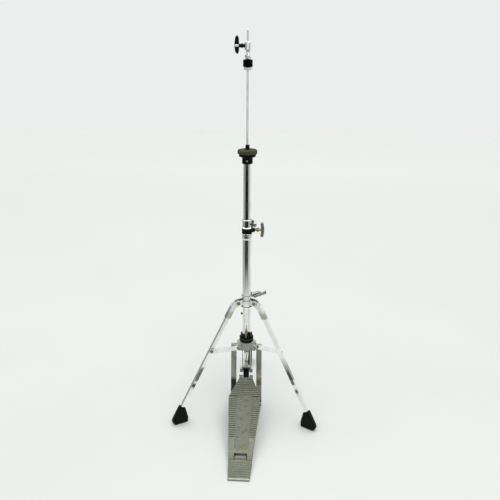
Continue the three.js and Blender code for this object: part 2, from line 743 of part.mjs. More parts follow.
// ---------- seat of the lower cymbal ----------
function addSeat() {
  const flangeLow = seatHeight - seatFlange;
  const cup = turned([
    [0, flangeLow - seatCollarHeight],
    [seatCollarRadius, flangeLow - seatCollarHeight],
    [seatCollarRadius, flangeLow - 1],
    [seatRadius - 2, flangeLow + 1],
    [seatRadius, flangeLow + 3],
    [seatRadius, seatHeight - 1],
    [seatRadius - 1, seatHeight],
    [0, seatHeight],
  ]);
  const socket = disc(tubeSlideRadius, 0, flangeLow);
  const sleeveHole = disc(sleeveRadius + gap, flangeLow + 2, seatHeight + 9, 20);
  const rodHole = disc(pullRodRadius + 0.6, 0, seatHeight + 9, 16);
  const screwHeight = flangeLow - 9;
  const screwHole = bar(2.1, [0, -seatCollarRadius - 2, screwHeight], [0, -upperTubeRadius, screwHeight], 12);
  add("seat_cup", cut(cup, socket, sleeveHole, rodHole, screwHole), blackPlastic);

  const screw = turned([
    [0, upperTubeRadius + gap],
    [1.8, upperTubeRadius + gap],
    [1.8, seatCollarRadius + gap],
    [3, seatCollarRadius + gap],
    [2.4, seatCollarRadius + 1.8],
    [0, seatCollarRadius + 1.8],
  ], 12);
  add("seat_set_screw", screw.rotateX(Math.PI / 2).translate(0, 0, screwHeight), chrome);

  const sleeveBore = pullRodRadius + 0.5;
  const sleeve = ring(sleeveBore, sleeveRadius, flangeLow + 2 + gap, sleeveTop, 20);
  add("seat_sleeve", sleeve, blackMetal);

  const feltLow = seatHeight + gap;
  const feltHigh = feltLow + seatFeltHeight;
  const felt = turned([
    [sleeveRadius + gap, feltLow],
    [seatFeltRadius - 2, feltLow],
    [seatFeltRadius, feltLow + 2.5],
    [seatFeltRadius, feltHigh - 2.5],
    [seatFeltRadius - 2.5, feltHigh],
    [sleeveRadius + gap, feltHigh],
    [sleeveRadius + gap, feltLow],
  ]);
  add("seat_felt", felt, greyFelt);
}

// ---------- clutch ----------
function addClutch() {
  const tubeFit = clutchTubeRadius + gap;
  const nutTop = clutchBottom + clutchNutHeight;
  add("clutch_bottom_nut", ring(tubeFit, clutchNutRadius, clutchBottom, nutTop, 24), chrome);
  let low = nutTop + gap;
  for (const name of ["lower", "upper"]) {
    const high = low + clutchFeltHeight;
    const felt = turned([
      [tubeFit, low],
      [clutchFeltRadius - 1, low],
      [clutchFeltRadius, low + 1.5],
      [clutchFeltRadius, high - 1.5],
      [clutchFeltRadius - 1, high],
      [tubeFit, high],
      [tubeFit, low],
    ], 24);
    add("clutch_" + name + "_felt", felt, blackFelt);
    low = high + gap;
  }
  const nutHigh = low + lockNutHeight;
  add("clutch_lock_nuts", ring(tubeFit, lockNutRadius, low, nutHigh, 12), chrome);

  const bodyLow = nutHigh + clutchNeck;
  const bodyHigh = bodyLow + clutchBodyHeight;
  const stem = ring(rodFitRadius, clutchTubeRadius, clutchBottom + 0.5, bodyLow - gap, 20);
  add("clutch_tube", stem, steel);
  const wingHeight = bodyLow + clutchBodyHeight / 2;
  const body = turned([
    [rodFitRadius, bodyLow],
    [clutchBodyRadius - 1, bodyLow],
    [clutchBodyRadius, bodyLow + 1],
    [clutchBodyRadius, bodyHigh - 3],
    [clutchBodyRadius - 1, bodyHigh - 1],
    [clutchBodyRadius - 3, bodyHigh],
    [rodFitRadius, bodyHigh],
    [rodFitRadius, bodyLow],
  ], 24);
  const bodyHole = bar(3.3, [-clutchBodyRadius - 1, 0, wingHeight], [0, 0, wingHeight], 12);
  const rodBore = disc(rodFitRadius, bodyLow - 1, bodyHigh + 1, 16);
  add("clutch_body", cut(body, bodyHole, rodBore), chrome);

  const neckEnd = -clutchBodyRadius - clutchWingReach;
  const shank = bar(3, [-rodFitRadius - gap, 0, wingHeight], [neckEnd - 2, 0, wingHeight], 12);
  const neck = bar(4.2, [-clutchBodyRadius - gap, 0, wingHeight], [neckEnd - 1, 0, wingHeight], 16);
  const wing = acrossY([
    [neckEnd, wingHeight - 5],
    [neckEnd - 1, wingHeight - clutchWingDown + 5],
    [neckEnd - 4, wingHeight - clutchWingDown],
    [neckEnd - 9, wingHeight - clutchWingDown + 4],
    [neckEnd - 11.5, wingHeight - 3],
    [neckEnd - 11.5, wingHeight + 3],
    [neckEnd - 9.5, wingHeight + clutchWingUp - 6],
    [neckEnd - 5, wingHeight + clutchWingUp],
    [neckEnd - 1, wingHeight + clutchWingUp - 6],
    [neckEnd, wingHeight + 5],
  ], -3, 3);
  add("clutch_wing_bolt", join(shank, neck, wing), blackPlastic);
}

// ---------- pedal ----------
// A point so far along the footboard from its hinge and so far above the hinge, as [y, z].
function onBoard(distance, above) {
  return [
    pedalPivot[0] + distance * Math.cos(boardTilt) - above * Math.sin(boardTilt),
    pedalPivot[1] + distance * Math.sin(boardTilt) + above * Math.cos(boardTilt),
  ];
}

function addFootboard() {
  const outline = [
    [-boardHeelHalfWidth, -7],
    [boardHeelHalfWidth, -7],
    [boardHalfWidth, boardWidest - 12],
    [boardHalfWidth, boardWidest],
    [boardNeckHalfWidth, boardNeck],
    [boardNeckHalfWidth + 1, boardLength],
    [strapNotchHalfWidth, boardLength],
    [strapNotchHalfWidth, boardLength - strapNotchDepth],
    [-strapNotchHalfWidth, boardLength - strapNotchDepth],
    [-strapNotchHalfWidth, boardLength],
    [-boardNeckHalfWidth - 1, boardLength],
    [-boardNeckHalfWidth, boardNeck],
    [-boardHalfWidth, boardWidest],
    [-boardHalfWidth, boardWidest - 12],
  ];
  const plate = extruded(outline, boardThickness);
  const skirtOutline = [
    [-boardHeelHalfWidth + 1, 12],
    [boardHeelHalfWidth - 1, 12],
    [boardHalfWidth - 1, boardWidest - 12],
    [boardHalfWidth - 1, boardWidest - 2],
    [boardNeckHalfWidth + 3, boardNeck - 6],
    [-boardNeckHalfWidth - 3, boardNeck - 6],
    [-boardHalfWidth + 1, boardWidest - 2],
    [-boardHalfWidth + 1, boardWidest - 12],
  ];
  const hollowOutline = [
    [-boardHeelHalfWidth + 5, 18],
    [boardHeelHalfWidth - 5, 18],
    [boardHalfWidth - 5, boardWidest - 12],
    [boardHalfWidth - 5, boardWidest - 4],
    [boardNeckHalfWidth, boardNeck - 12],
    [-boardNeckHalfWidth, boardNeck - 12],
    [-boardHalfWidth + 5, boardWidest - 4],
    [-boardHalfWidth + 5, boardWidest - 12],
  ];
  const skirt = extruded(skirtOutline, 5).translate(0, 0, -4);
  const hollow = extruded(hollowOutline, 6).translate(0, 0, -6);
  const tabSlot = block([-tabHalfWidth - 0.5, -20, -20], [tabHalfWidth + 0.5, knuckleRadius + 5, 20]);
  let board = join(plate, cut(skirt, hollow));
  board.rotateX(boardTilt).translate(0, pedalPivot[0], pedalPivot[1]);
  const knuckle = bar(
    knuckleRadius,
    [-boardHeelHalfWidth + 1, pedalPivot[0], pedalPivot[1]],
    [boardHeelHalfWidth - 1, pedalPivot[0], pedalPivot[1]],
    20,
  );
  board = join(board, knuckle);
  const slot = tabSlot.rotateX(boardTilt).translate(0, pedalPivot[0], pedalPivot[1]);
  const pinHole = bar(
    hingePinRadius + slip,
    [-boardHalfWidth, pedalPivot[0], pedalPivot[1]],
    [boardHalfWidth, pedalPivot[0], pedalPivot[1]],
    16,
  );
  add("footboard", cut(board, slot, pinHole), castAluminium);
}

function addHeel() {
  const back = pedalPivot[0] - 10.5;
  const plan = [
    [-heelHalfWidth, heelFront],
    [heelHalfWidth, heelFront],
    [boardHeelHalfWidth, back],
    [-boardHeelHalfWidth, back],
  ];
  const wedge = acrossX([
    [heelFront - 1, 0],
    [back, 0],
    [back, heelTop],
    [heelFront + 6, heelLip],
    [heelFront + 3, heelLip + 1.5],
    [heelFront - 1, heelLip],
  ], -60, 60);
  const body = geometryOf(solidOf(wedge).intersect(solidOf(extruded(plan, 60))));
  const tab = acrossX([
    [back - 5, barThickness + gap],
    [pedalPivot[0] + 2, barThickness + gap],
    ...arc(pedalPivot, knuckleRadius + 0.7, -50, 110, 8),
    [back - 5, heelTop - 1],
  ], -tabHalfWidth, tabHalfWidth);
  const hole = bar(
    hingePinRadius + gap,
    [-heelHalfWidth, pedalPivot[0], pedalPivot[1]],
    [heelHalfWidth, pedalPivot[0], pedalPivot[1]],
    16,
  );
  const pocketHalf = barWidth / 2 + barRun * (back - barEnd) + gap;
  const pockets = [-1, 1].map((side) => block(
    [side * barHeelOffset - pocketHalf, barEnd - 1, -1],
    [side * barHeelOffset + pocketHalf, back + 1, barThickness + gap],
  ));
  add("heel_plate", cut(join(body, tab), hole, ...pockets), castAluminium);
  const pin = bar(
    hingePinRadius,
    [-boardHeelHalfWidth + 1, pedalPivot[0], pedalPivot[1]],
    [boardHeelHalfWidth - 1, pedalPivot[0], pedalPivot[1]],
    16,
  );
  add("hinge_pin", pin, steel);
}

function addFrameBars() {
  const top = castingTop - barTopDrop;
  const back = barThickness / 2;
  const centre = [-barBend + back, barBend];
  const outline = [
    [back, top],
    ...arc(centre, barBend, 0, -90, 6),
    [barEnd, 0],
    [barEnd, barThickness],
    ...arc(centre, barBend - barThickness, -90, 0, 6),
    [-back, top],
  ];
  for (const [name, side] of [["left", -1], ["right", 1]]) {
    const at = side * barOffset;
    const strip = acrossX(outline, at - barWidth / 2, at + barWidth / 2);
    const places = strip.attributes.position;
    for (let i = 0; i < places.count; i++) {
      const splay = barSplay * (1 - places.getZ(i) / top);
      const inwards = barRun * Math.max(0, -barBend - places.getY(i));
      places.setX(i, places.getX(i) + side * (splay - inwards));
    }
    const boltHole = bar(2.8, [at, -barThickness, barBoltHeight], [at, barThickness, barBoltHeight], 12);
    add("frame_bar_" + name, cut(strip, boltHole), steel);
    const seat = barThickness / 2 + 6 + gap;
    const bolt = join(
      bar(2.5, [at, -back + gap, barBoltHeight], [at, seat + 2, barBoltHeight], 12),
      bar(4.5, [at, seat, barBoltHeight], [at, seat + 3.5, barBoltHeight], 6),
    );
    add("bar_bolt_" + name, bolt, steel);
  }
}

// ---------- pull linkage ----------
function addLinkage() {
  const depth = yokeDepth / 2;
  const cheek = strapWidth / 2 + 1;
  const bridgeHalf = cheek + yokeRiser;
  const cheekTop = strapPinHeight + yokeShoulder;
  const bridge = block([-bridgeHalf, -depth, yokeTop - yokePlate], [bridgeHalf, depth, yokeTop]);
  const cheeks = [-1, 1].map((side) => block(
    [Math.min(side * cheek, side * yokeHalfWidth), -depth, yokeBottom],
    [Math.max(side * cheek, side * yokeHalfWidth), depth, cheekTop],
  ));
  const risers = [-1, 1].map((side) => block(
    [Math.min(side * cheek, side * bridgeHalf), -depth, strapPinHeight],
    [Math.max(side * cheek, side * bridgeHalf), depth, yokeTop - 1],
  ));
  const pin = bar(strapPinRadius, [-cheek - 2, 0, strapPinHeight], [cheek + 2, 0, strapPinHeight], 16);
  const guides = [-1, 1].map((side) => disc(guideRodRadius, cheekTop - 1, guideRodTop, 10)
    .translate(side * guideRodOffset, 0, 0));
  const nutTop = connectorBottom - gap;
  const nutLow = nutTop - rodNutHeight;
  const stem = disc(yokeStemRadius, yokeTop - 1, nutLow - gap, 16);
  const rodHole = disc(rodFitRadius, yokeTop - yokePlate - 1, nutTop, 16);
  add("pull_yoke", cut(join(bridge, ...cheeks, ...risers, pin, ...guides, stem), rodHole), steel);

  const nut = disc(rodNutRadius, nutLow, nutTop, 6);
  add("rod_lock_nut", cut(nut, disc(rodFitRadius, nutLow - 1, nutTop + 1, 16)), brass);
  const connector = turned([
    [rodFitRadius, connectorBottom],
    [rodFitRadius + connectorFootWall, connectorBottom],
    [rodFitRadius + connectorWall, connectorTop - 4],
    [rodFitRadius + connectorWall - 1, connectorTop - 2],
    [rodFitRadius, connectorTop - 2],
    [rodFitRadius, connectorBottom],
  ], 20);
  add("rod_connector", connector, chrome);

  const anchor = onBoard(strapAnchor, boardThickness / 2);
  const pinAt = [0, strapPinHeight];
  const lean = Math.atan2(pinAt[1] - anchor[1], pinAt[0] - anchor[0]);
  const reach = Math.hypot(pinAt[0] - anchor[0], pinAt[1] - anchor[1]);
  const inner = strapPinRadius + strapPinSlip;
  const outer = inner + strapThickness;
  const half = strapThickness / 2;
  const loop = arc([reach, 0], outer, -160, 160, 14);
  const strap = cut(
    extruded([[-3, half + 0.5], [-3, -half - 0.5], [3, -half - 0.5], ...loop, [3, half + 0.5]], strapWidth),
    new THREE.CylinderGeometry(inner, inner, 60, 16).rotateX(Math.PI / 2).translate(reach, 0, 0),
  );
  const place = new THREE.Matrix4().makeBasis(
    new THREE.Vector3(0, Math.cos(lean), Math.sin(lean)),
    new THREE.Vector3(0, -Math.sin(lean), Math.cos(lean)),
    new THREE.Vector3(1, 0, 0),
  ).setPosition(-strapWidth / 2, anchor[0], anchor[1]);
  add("toe_strap", strap.applyMatrix4(place), rubber);
}

addTubes();
addPullRods();
addSpring();
addBase();
for (const [name, azimuth] of legs) addLeg(name, azimuth);
addCollar();
addHeightClamp();
addSeat();
addClutch();
addFootboard();
addHeel();
addFrameBars();
addLinkage();

// the origin goes to the floor under the centre of the stand's box
stand.updateMatrixWorld(true);
const box = new THREE.Box3().setFromObject(stand, true);
const centre = box.getCenter(new THREE.Vector3());
const hiHatStand = new THREE.Group();
hiHatStand.position.set(-centre.x, -centre.y, -box.min.z);
hiHatStand.add(stand);

export default hiHatStand;
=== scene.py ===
"""Looks of the hi-hat stand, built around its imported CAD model. Metres, +Z up, the pedal towards -Y."""

import json
import math

import bmesh
import bpy
from mathutils import Matrix, Vector, noise


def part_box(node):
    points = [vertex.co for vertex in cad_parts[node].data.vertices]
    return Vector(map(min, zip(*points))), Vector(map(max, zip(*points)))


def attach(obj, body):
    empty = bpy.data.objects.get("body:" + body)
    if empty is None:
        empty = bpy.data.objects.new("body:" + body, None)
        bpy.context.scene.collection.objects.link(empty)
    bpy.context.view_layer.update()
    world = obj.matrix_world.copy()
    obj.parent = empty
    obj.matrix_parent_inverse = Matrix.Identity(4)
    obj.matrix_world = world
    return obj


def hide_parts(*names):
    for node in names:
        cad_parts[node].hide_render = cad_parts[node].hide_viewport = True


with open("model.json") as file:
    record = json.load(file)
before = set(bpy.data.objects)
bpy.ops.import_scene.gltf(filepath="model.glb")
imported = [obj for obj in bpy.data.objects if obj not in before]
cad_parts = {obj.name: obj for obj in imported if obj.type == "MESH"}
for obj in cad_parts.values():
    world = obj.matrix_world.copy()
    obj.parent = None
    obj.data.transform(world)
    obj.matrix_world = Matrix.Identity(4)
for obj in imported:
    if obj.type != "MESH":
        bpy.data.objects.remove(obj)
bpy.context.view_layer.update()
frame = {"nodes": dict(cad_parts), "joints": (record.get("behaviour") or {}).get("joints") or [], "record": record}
nodes = frame["nodes"]
joints = {joint["name"]: joint for joint in frame["joints"]}
bodies = frame["record"]["behaviour"]["bodies"]
body_of_node = {node: body for body, members in bodies.items() for node in members}
slot_of_node = {row["node"]: row["material_slot"] for row in frame["record"]["subparts"]}

MM = 0.001
LEG_NAMES = ("left", "right", "back")
# the footboard's sunk panel: half its width, and its two ends along the board from the hinge
PANEL_HALF = 19 * MM
PANEL_FROM, PANEL_TO = 26 * MM, 180 * MM


def middle(node):
    low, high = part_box(node)
    return (low + high) / 2


def height_of(node):
    low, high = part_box(node)
    return low.z, high.z


tube_foot = Vector((middle("lower_tube").x, middle("lower_tube").y, 0))


# ---------- node helpers for materials ----------
class Tree:
    """A material's nodes, added one by one."""

    def __init__(self, name):
        self.material = bpy.data.materials.new(name)
        self.material.use_nodes = True
        self.nodes = self.material.node_tree.nodes
        self.links = self.material.node_tree.links
        self.shader = self.nodes["Principled BSDF"]
        self.place = self.add("ShaderNodeTexCoord").outputs["Object"]

    def add(self, kind, inputs=None, **settings):
        node = self.nodes.new(kind)
        for key, value in settings.items():
            setattr(node, key, value)
        for key, value in (inputs or {}).items():
            self.put(node.inputs[key], value)
        return node

    def put(self, socket, value):
        if isinstance(value, bpy.types.NodeSocket):
            self.links.new(value, socket)
        else:
            socket.default_value = value

    def noise(self, scale, detail=4.0, roughness=0.55, stretch=(1, 1, 1), offset=(0, 0, 0)):
        place = self.place
        if stretch != (1, 1, 1) or offset != (0, 0, 0):
            mapping = {"Vector": place, "Scale": stretch, "Location": offset}
            place = self.add("ShaderNodeMapping", mapping).outputs[0]
        inputs = {"Vector": place, "Scale": scale, "Detail": detail, "Roughness": roughness}
        return self.add("ShaderNodeTexNoise", inputs).outputs["Fac"]

    def spread(self, value, low, high, to_low=0.0, to_high=1.0):
        inputs = {"Value": value, "From Min": low, "From Max": high, "To Min": to_low, "To Max": to_high}
        return self.add("ShaderNodeMapRange", inputs).outputs[0]

    def multiply(self, first, second):
        node = self.add("ShaderNodeMath", operation="MULTIPLY")
        self.put(node.inputs[0], first)
        self.put(node.inputs[1], second)
        return node.outputs[0]

    def mix(self, share, first, second):
        node = self.add("ShaderNodeMix", data_type="RGBA")
        self.put(node.inputs[0], share)
        self.put(node.inputs[6], first)
        self.put(node.inputs[7], second)
        return node.outputs[2]

    def part(self, axis):
        return self.add("ShaderNodeSeparateXYZ", {"Vector": self.place}).outputs[axis]

    def band(self, value, low, high, blur):
        """1 between low and high and 0 outside."""
        rise = self.spread(value, low - blur, low + blur)
        fall = self.spread(value, high + blur, high - blur)
        return self.multiply(rise, fall)

    def painted_underside_shade(self):
        # painted shade: the share of a darker colour where a surface faces down
        normal = self.add("ShaderNodeNewGeometry").outputs["Normal"]
        upwards = self.add("ShaderNodeSeparateXYZ", {"Vector": normal}).outputs["Z"]
        return self.spread(upwards, -0.45, -0.85, 0.0, 0.8)

    def bump(self, height, strength, distance, below=None):
        inputs = {"Height": height, "Strength": strength, "Distance": distance}
        if below is not None:
            inputs["Normal"] = below
        return self.add("ShaderNodeBump", inputs).outputs[0]

    def rounded(self, radius):
        return self.add("ShaderNodeBevel", {"Radius": radius}, samples=6).outputs[0]

    def crevices(self, distance):
        """1 in the open and 0 deep in a corner; the materials use it to paint shade into corners."""
        return self.add("ShaderNodeAmbientOcclusion", {"Distance": distance}, samples=6).outputs["AO"]

    def set(self, **values):
        for key, value in values.items():
            self.put(self.shader.inputs[key.replace("_", " ")], value)
        return self.material


def chrome_material(name="chrome", mark=None, mark_color=(1, 1, 1, 1)):
    """mark(tree) gives the share, from 0 to 1, of mark_color: a tarnish on the brackets and legs, and painted
    shade along the collar's rim.
    """
    t = Tree(name)
    smudge = t.spread(t.noise(22, 5), 0.42, 0.7)
    pits = t.spread(t.noise(900, 3, 0.7), 0.66, 0.78)
    scratches = t.spread(t.noise(60, 6, 0.7, stretch=(14, 14, 1)), 0.5, 0.8)
    color = t.mix(smudge, (0.83, 0.84, 0.83, 1), (0.70, 0.71, 0.70, 1))
    color = t.mix(t.multiply(pits, 0.4), color, (0.30, 0.27, 0.22, 1))
    if mark:
        color = t.mix(mark(t), color, mark_color)
    # painted shade: darker deep in corners and crevices, from an ambient-occlusion mask
    painted_crevice_shade = t.spread(t.crevices(0.007), 0.30, 0.80, 0.92, 0.0)
    color = t.mix(painted_crevice_shade, color, (0.035, 0.035, 0.028, 1))
    # painted shade on the surfaces that face down
    color = t.mix(t.painted_underside_shade(), color, (0.05, 0.05, 0.045, 1))
    normal = t.bump(scratches, 0.12, 0.0001, t.rounded(0.0004))
    normal = t.bump(t.noise(9, 2), 0.05, 0.002, normal)
    return t.set(Base_Color=color, Metallic=1.0, Roughness=t.spread(smudge, 0, 1, 0.07, 0.17), Normal=normal)


def bracket_material():
    """Chrome whose plating has dulled at the brackets' lower ends."""
    low, _ = height_of("knee_bracket_left")

    def dulled(t):
        lower_end = t.spread(t.part("Z"), low + 26 * MM, low + 16 * MM)
        return t.multiply(lower_end, t.spread(t.noise(70, 5), 0.2, 0.7, 0.55, 0.95))

    return chrome_material("chrome_bracket", dulled, (0.36, 0.35, 0.26, 1))


def collar_material():
    """Chrome with a dark line of painted shade along the collar's lower rim."""
    low, _ = height_of("leg_collar")

    def rim(t):
        # painted shade: the dark line along the lower rim
        return t.spread(t.part("Z"), low + 2.6 * MM, low + 1.4 * MM, 0.0, 0.9)

    return chrome_material("chrome_collar", rim, (0.025, 0.025, 0.02, 1))


def leg_material():
    """Chrome with a blue-grey tarnish that fades out upwards and ends sharply below."""

    def tarnish(t):
        upper_end = t.spread(t.part("Z"), 205 * MM, 180 * MM)
        return t.multiply(upper_end, t.spread(t.part("Z"), 143 * MM, 145 * MM, 0.0, 0.85))

    return chrome_material("chrome_leg", tarnish, (0.27, 0.31, 0.32, 1))


def steel_material(name="steel", light=(0.33, 0.33, 0.29, 1), dark=(0.20, 0.20, 0.165, 1), marks=()):
    """marks are pairs: a function of the tree that gives a share, and the colour that it mixes in."""
    t = Tree(name)
    cloud = t.spread(t.noise(35, 6), 0.35, 0.7)
    streaks = t.noise(90, 5, 0.6, stretch=(6, 6, 1))
    rust = t.spread(t.noise(55, 6, 0.7, offset=(3, 1, 2)), 0.63, 0.72)
    color = t.mix(cloud, light, dark)
    color = t.mix(t.multiply(rust, 0.55), color, (0.20, 0.13, 0.05, 1))
    for share, tone in marks:
        color = t.mix(share(t), color, tone)
    # painted shade: darker deep in corners and crevices, from an ambient-occlusion mask
    painted_crevice_shade = t.spread(t.crevices(0.006), 0.30, 0.80, 0.9, 0.0)
    color = t.mix(painted_crevice_shade, color, (0.02, 0.018, 0.012, 1))
    normal = t.bump(streaks, 0.25, 0.0001, t.rounded(0.0004))
    return t.set(Base_Color=color, Metallic=1.0, Roughness=t.spread(cloud, 0, 1, 0.26, 0.44), Normal=normal)


def bar_material():
    """The frame bars: darker on the left and rusty on the right, just above the footboard's edges."""
    centre = tube_foot.x
    marks_top, marks_full = 94 * MM, 80 * MM
    rust_end = 58 * MM
    left_bar_dark_color, rust_color = (0.018, 0.017, 0.010, 1), (0.19, 0.145, 0.055, 1)

    # darkens the left bar's lower end, just above the footboard
    def left_bar_darkening(t):
        on_left = t.spread(t.part("X"), centre, centre - 1 * MM, 0.0, 0.93)
        return t.multiply(t.spread(t.part("Z"), marks_top, marks_full), on_left)

    def rust(t):
        on_right = t.spread(t.part("X"), centre, centre + 1 * MM)
        share = t.multiply(t.spread(t.part("Z"), marks_top, marks_full), on_right)
        share = t.multiply(share, t.spread(t.part("Z"), rust_end, rust_end + 8 * MM))
        return t.multiply(share, t.spread(t.noise(80, 4), 0.35, 0.6, 0.5, 0.95))

    marks = ((left_bar_darkening, left_bar_dark_color), (rust, rust_color))
    return steel_material("steel_bar", (0.42, 0.42, 0.37, 1), (0.27, 0.27, 0.235, 1), marks)


def pedal_material():
    """The footboard and the heel plate: dull, stained near the hinge and smudged in the board's panel."""
    hinge = Vector(joints["footboard_press"]["pos_m"])
    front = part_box("heel_plate")[0].y

    def patch(t, x, y, blur):
        """1 within two spans measured from the hinge, which end over blur's two widths."""
        along = t.band(t.part("Y"), hinge.y + y[0], hinge.y + y[1], blur[1])
        return t.multiply(along, t.band(t.part("X"), hinge.x + x[0], hinge.x + x[1], blur[0]))

    def stain(t):
        spot = patch(t, (-14 * MM, 14 * MM), (16 * MM, 32 * MM), (3 * MM, 3 * MM))
        return t.multiply(spot, t.spread(t.noise(170, 4), 0.42, 0.6, 0.0, 0.8))

    def smudge(t):
        spot = patch(t, (-12 * MM, 15 * MM), (48 * MM, 160 * MM), (3 * MM, 6 * MM))
        cloud = t.noise(85, 5, 0.6, stretch=(1, 0.8, 1), offset=(7, 2, 5))
        return t.multiply(spot, t.spread(cloud, 0.54, 0.68, 0.0, 0.75))

    def lip(t):
        return t.spread(t.part("Y"), front + 5.5 * MM, front + 4 * MM, 0.0, 0.8)

    def panel(t):
        return patch(t, (-PANEL_HALF, PANEL_HALF), (PANEL_FROM, 166 * MM), (1 * MM, 1 * MM))

    tones = (0.134, 0.138, 0.105, 1), (0.106, 0.109, 0.082, 1), (0.175, 0.179, 0.142, 1)
    return cast_material("cast_pedal", *tones, (
        (panel, (0.105, 0.109, 0.085, 1)),
        (stain, (0.10, 0.070, 0.020, 1)),
        (smudge, (0.035, 0.036, 0.028, 1)),
        (lip, (0.33, 0.34, 0.28, 1)),
    ))


def cast_material(name="cast_aluminium", light=(0.38, 0.387, 0.33, 1), dark=(0.28, 0.286, 0.236, 1),
                  speck=(0.48, 0.487, 0.43, 1), marks=()):
    t = Tree(name)
    cloud = t.spread(t.noise(26, 6, 0.6), 0.35, 0.68)
    mottle = t.spread(t.noise(160, 5, 0.65), 0.4, 0.7)
    open_air = t.crevices(0.004)
    color = t.mix(cloud, light, dark)
    color = t.mix(t.multiply(mottle, 0.45), color, speck)
    for share, tone in marks:
        color = t.mix(share(t), color, tone)
    # painted shade: darker deep in corners and crevices, where open_air is low
    color = t.mix(t.spread(open_air, 0.42, 0.92, 0.97, 0.0), color, (0.022, 0.020, 0.012, 1))
    normal = t.bump(t.noise(700, 4, 0.6), 0.35, 0.0002, t.rounded(0.0006))
    normal = t.bump(t.noise(120, 3), 0.25, 0.0005, normal)
    roughness = t.spread(mottle, 0, 1, 0.58, 0.42)
    return t.set(Base_Color=color, Metallic=0.6, Roughness=roughness, Normal=normal)


def brass_material():
    t = Tree("brass")
    tarnish = t.spread(t.noise(120, 6), 0.4, 0.7)
    color = t.mix(tarnish, (0.34, 0.28, 0.145, 1), (0.15, 0.11, 0.045, 1))
    normal = t.bump(t.noise(600, 3), 0.15, 0.0001, t.rounded(0.0004))
    return t.set(Base_Color=color, Metallic=1.0, Roughness=t.spread(tarnish, 0, 1, 0.24, 0.42), Normal=normal)


DULL = 0.08  # the specular level of the black finishes


def black_metal_material():
    t = Tree("black_metal")
    wear = t.spread(t.noise(180, 6, 0.7), 0.62, 0.72)
    color = t.mix(t.multiply(wear, 0.5), (0.003, 0.003, 0.003, 1), (0.06, 0.055, 0.045, 1))
    normal = t.bump(t.noise(800, 3), 0.12, 0.0001, t.rounded(0.0005))
    roughness = t.spread(wear, 0, 1, 0.30, 0.5)
    return t.set(Base_Color=color, Roughness=roughness, Normal=normal, Specular_IOR_Level=DULL)


def black_plastic_material():
    t = Tree("black_plastic")
    cloud = t.spread(t.noise(70, 5), 0.4, 0.7)
    scuff = t.spread(t.noise(260, 6, 0.75), 0.64, 0.74)
    color = t.mix(cloud, (0.0015, 0.0015, 0.0015, 1), (0.004, 0.004, 0.004, 1))
    color = t.mix(t.multiply(scuff, 0.3), color, (0.03, 0.03, 0.027, 1))
    normal = t.bump(t.noise(1500, 3), 0.15, 0.0001, t.rounded(0.0005))
    roughness = t.spread(cloud, 0, 1, 0.32, 0.45)
    return t.set(Base_Color=color, Roughness=roughness, Normal=normal, Specular_IOR_Level=DULL)


def rubber_material():
    t = Tree("rubber")
    dust = t.multiply(t.spread(t.noise(90, 6, 0.7), 0.5, 0.8), 0.5)
    color = t.mix(dust, (0.0015, 0.0015, 0.0015, 1), (0.016, 0.015, 0.013, 1))
    normal = t.bump(t.noise(1100, 4, 0.7), 0.4, 0.0002)
    roughness = t.spread(dust, 0, 0.5, 0.34, 0.62)
    return t.set(Base_Color=color, Roughness=roughness, Normal=normal, Specular_IOR_Level=DULL)


def felt_material(name, dark, light, sheen):
    t = Tree(name)
    fibres = t.noise(1400, 6, 0.75, stretch=(1, 1, 2.2))
    tufts = t.noise(320, 5, 0.7)
    color = t.mix(t.spread(tufts, 0.35, 0.68), dark, light)
    fibre_color = tuple(min(1, 1.7 * c) for c in light[:3]) + (1,)
    color = t.mix(t.multiply(t.spread(fibres, 0.5, 0.72), 0.6), color, fibre_color)
    normal = t.bump(fibres, 0.9, 0.0006)
    normal = t.bump(tufts, 0.7, 0.0012, normal)
    t.set(Base_Color=color, Roughness=1.0, Normal=normal, Specular_IOR_Level=0.03)
    return t.set(Sheen_Weight=sheen, Sheen_Roughness=0.6)


MATERIALS = {
    "chrome": chrome_material(),
    "chrome_bracket": bracket_material(),
    "chrome_leg": leg_material(),
    "chrome_collar": collar_material(),
    "cast_pedal": pedal_material(),
    "steel_bar": bar_material(),
    "steel_bright": steel_material("steel_bright", (0.62, 0.62, 0.58, 1), (0.48, 0.48, 0.44, 1)),
    "steel": steel_material(),
    "cast_aluminium": cast_material(),
    "brass": brass_material(),
    "black_metal": black_metal_material(),
    "black_plastic": black_plastic_material(),
    "rubber": rubber_material(),
    "grey_felt": felt_material("grey_felt", (0.010, 0.009, 0.005, 1), (0.085, 0.080, 0.048, 1), 0.03),
    "black_felt": felt_material("black_felt", (0.001, 0.001, 0.001, 1), (0.003, 0.003, 0.003, 1), 0.0),
}


SPECIAL_FINISH = {
    **{"knee_bracket_" + leg: "chrome_bracket" for leg in LEG_NAMES},
    **{name: "cast_pedal" for name in ("footboard", "heel_plate")},
    **{"frame_bar_" + side: "steel_bar" for side in ("left", "right")},
    "leg_right": "chrome_leg",
    "leg_collar": "chrome_collar",
    "clutch_tube": "chrome",
    "pull_yoke": "steel_bright",
    "clutch_wing_hub": "steel_bright",
    "return_spring": "black_metal",
}


# ---------- mesh helpers ----------
def link(name, mesh):
    piece = bpy.data.objects.new(name, mesh)
    bpy.context.scene.collection.objects.link(piece)
    return piece


def mesh_piece(name, points, faces):
    """A new object from points and faces, with its faces turned outwards."""
    mesh = bpy.data.meshes.new(name)
    mesh.from_pydata([tuple(point) for point in points], [], faces)
    tidy = bmesh.new()
    tidy.from_mesh(mesh)
    bmesh.ops.remove_doubles(tidy, verts=tidy.verts, dist=1e-7)
    bmesh.ops.recalc_face_normals(tidy, faces=tidy.faces)
    tidy.to_mesh(mesh)
    tidy.free()
    return link(name, mesh)


def shade(piece, angle=32):
    piece.data.polygons.foreach_set("use_smooth", [True] * len(piece.data.polygons))
    piece.data.set_sharp_from_angle(angle=math.radians(angle))
    piece.modifiers.new("even_light", "WEIGHTED_NORMAL").keep_sharp = True


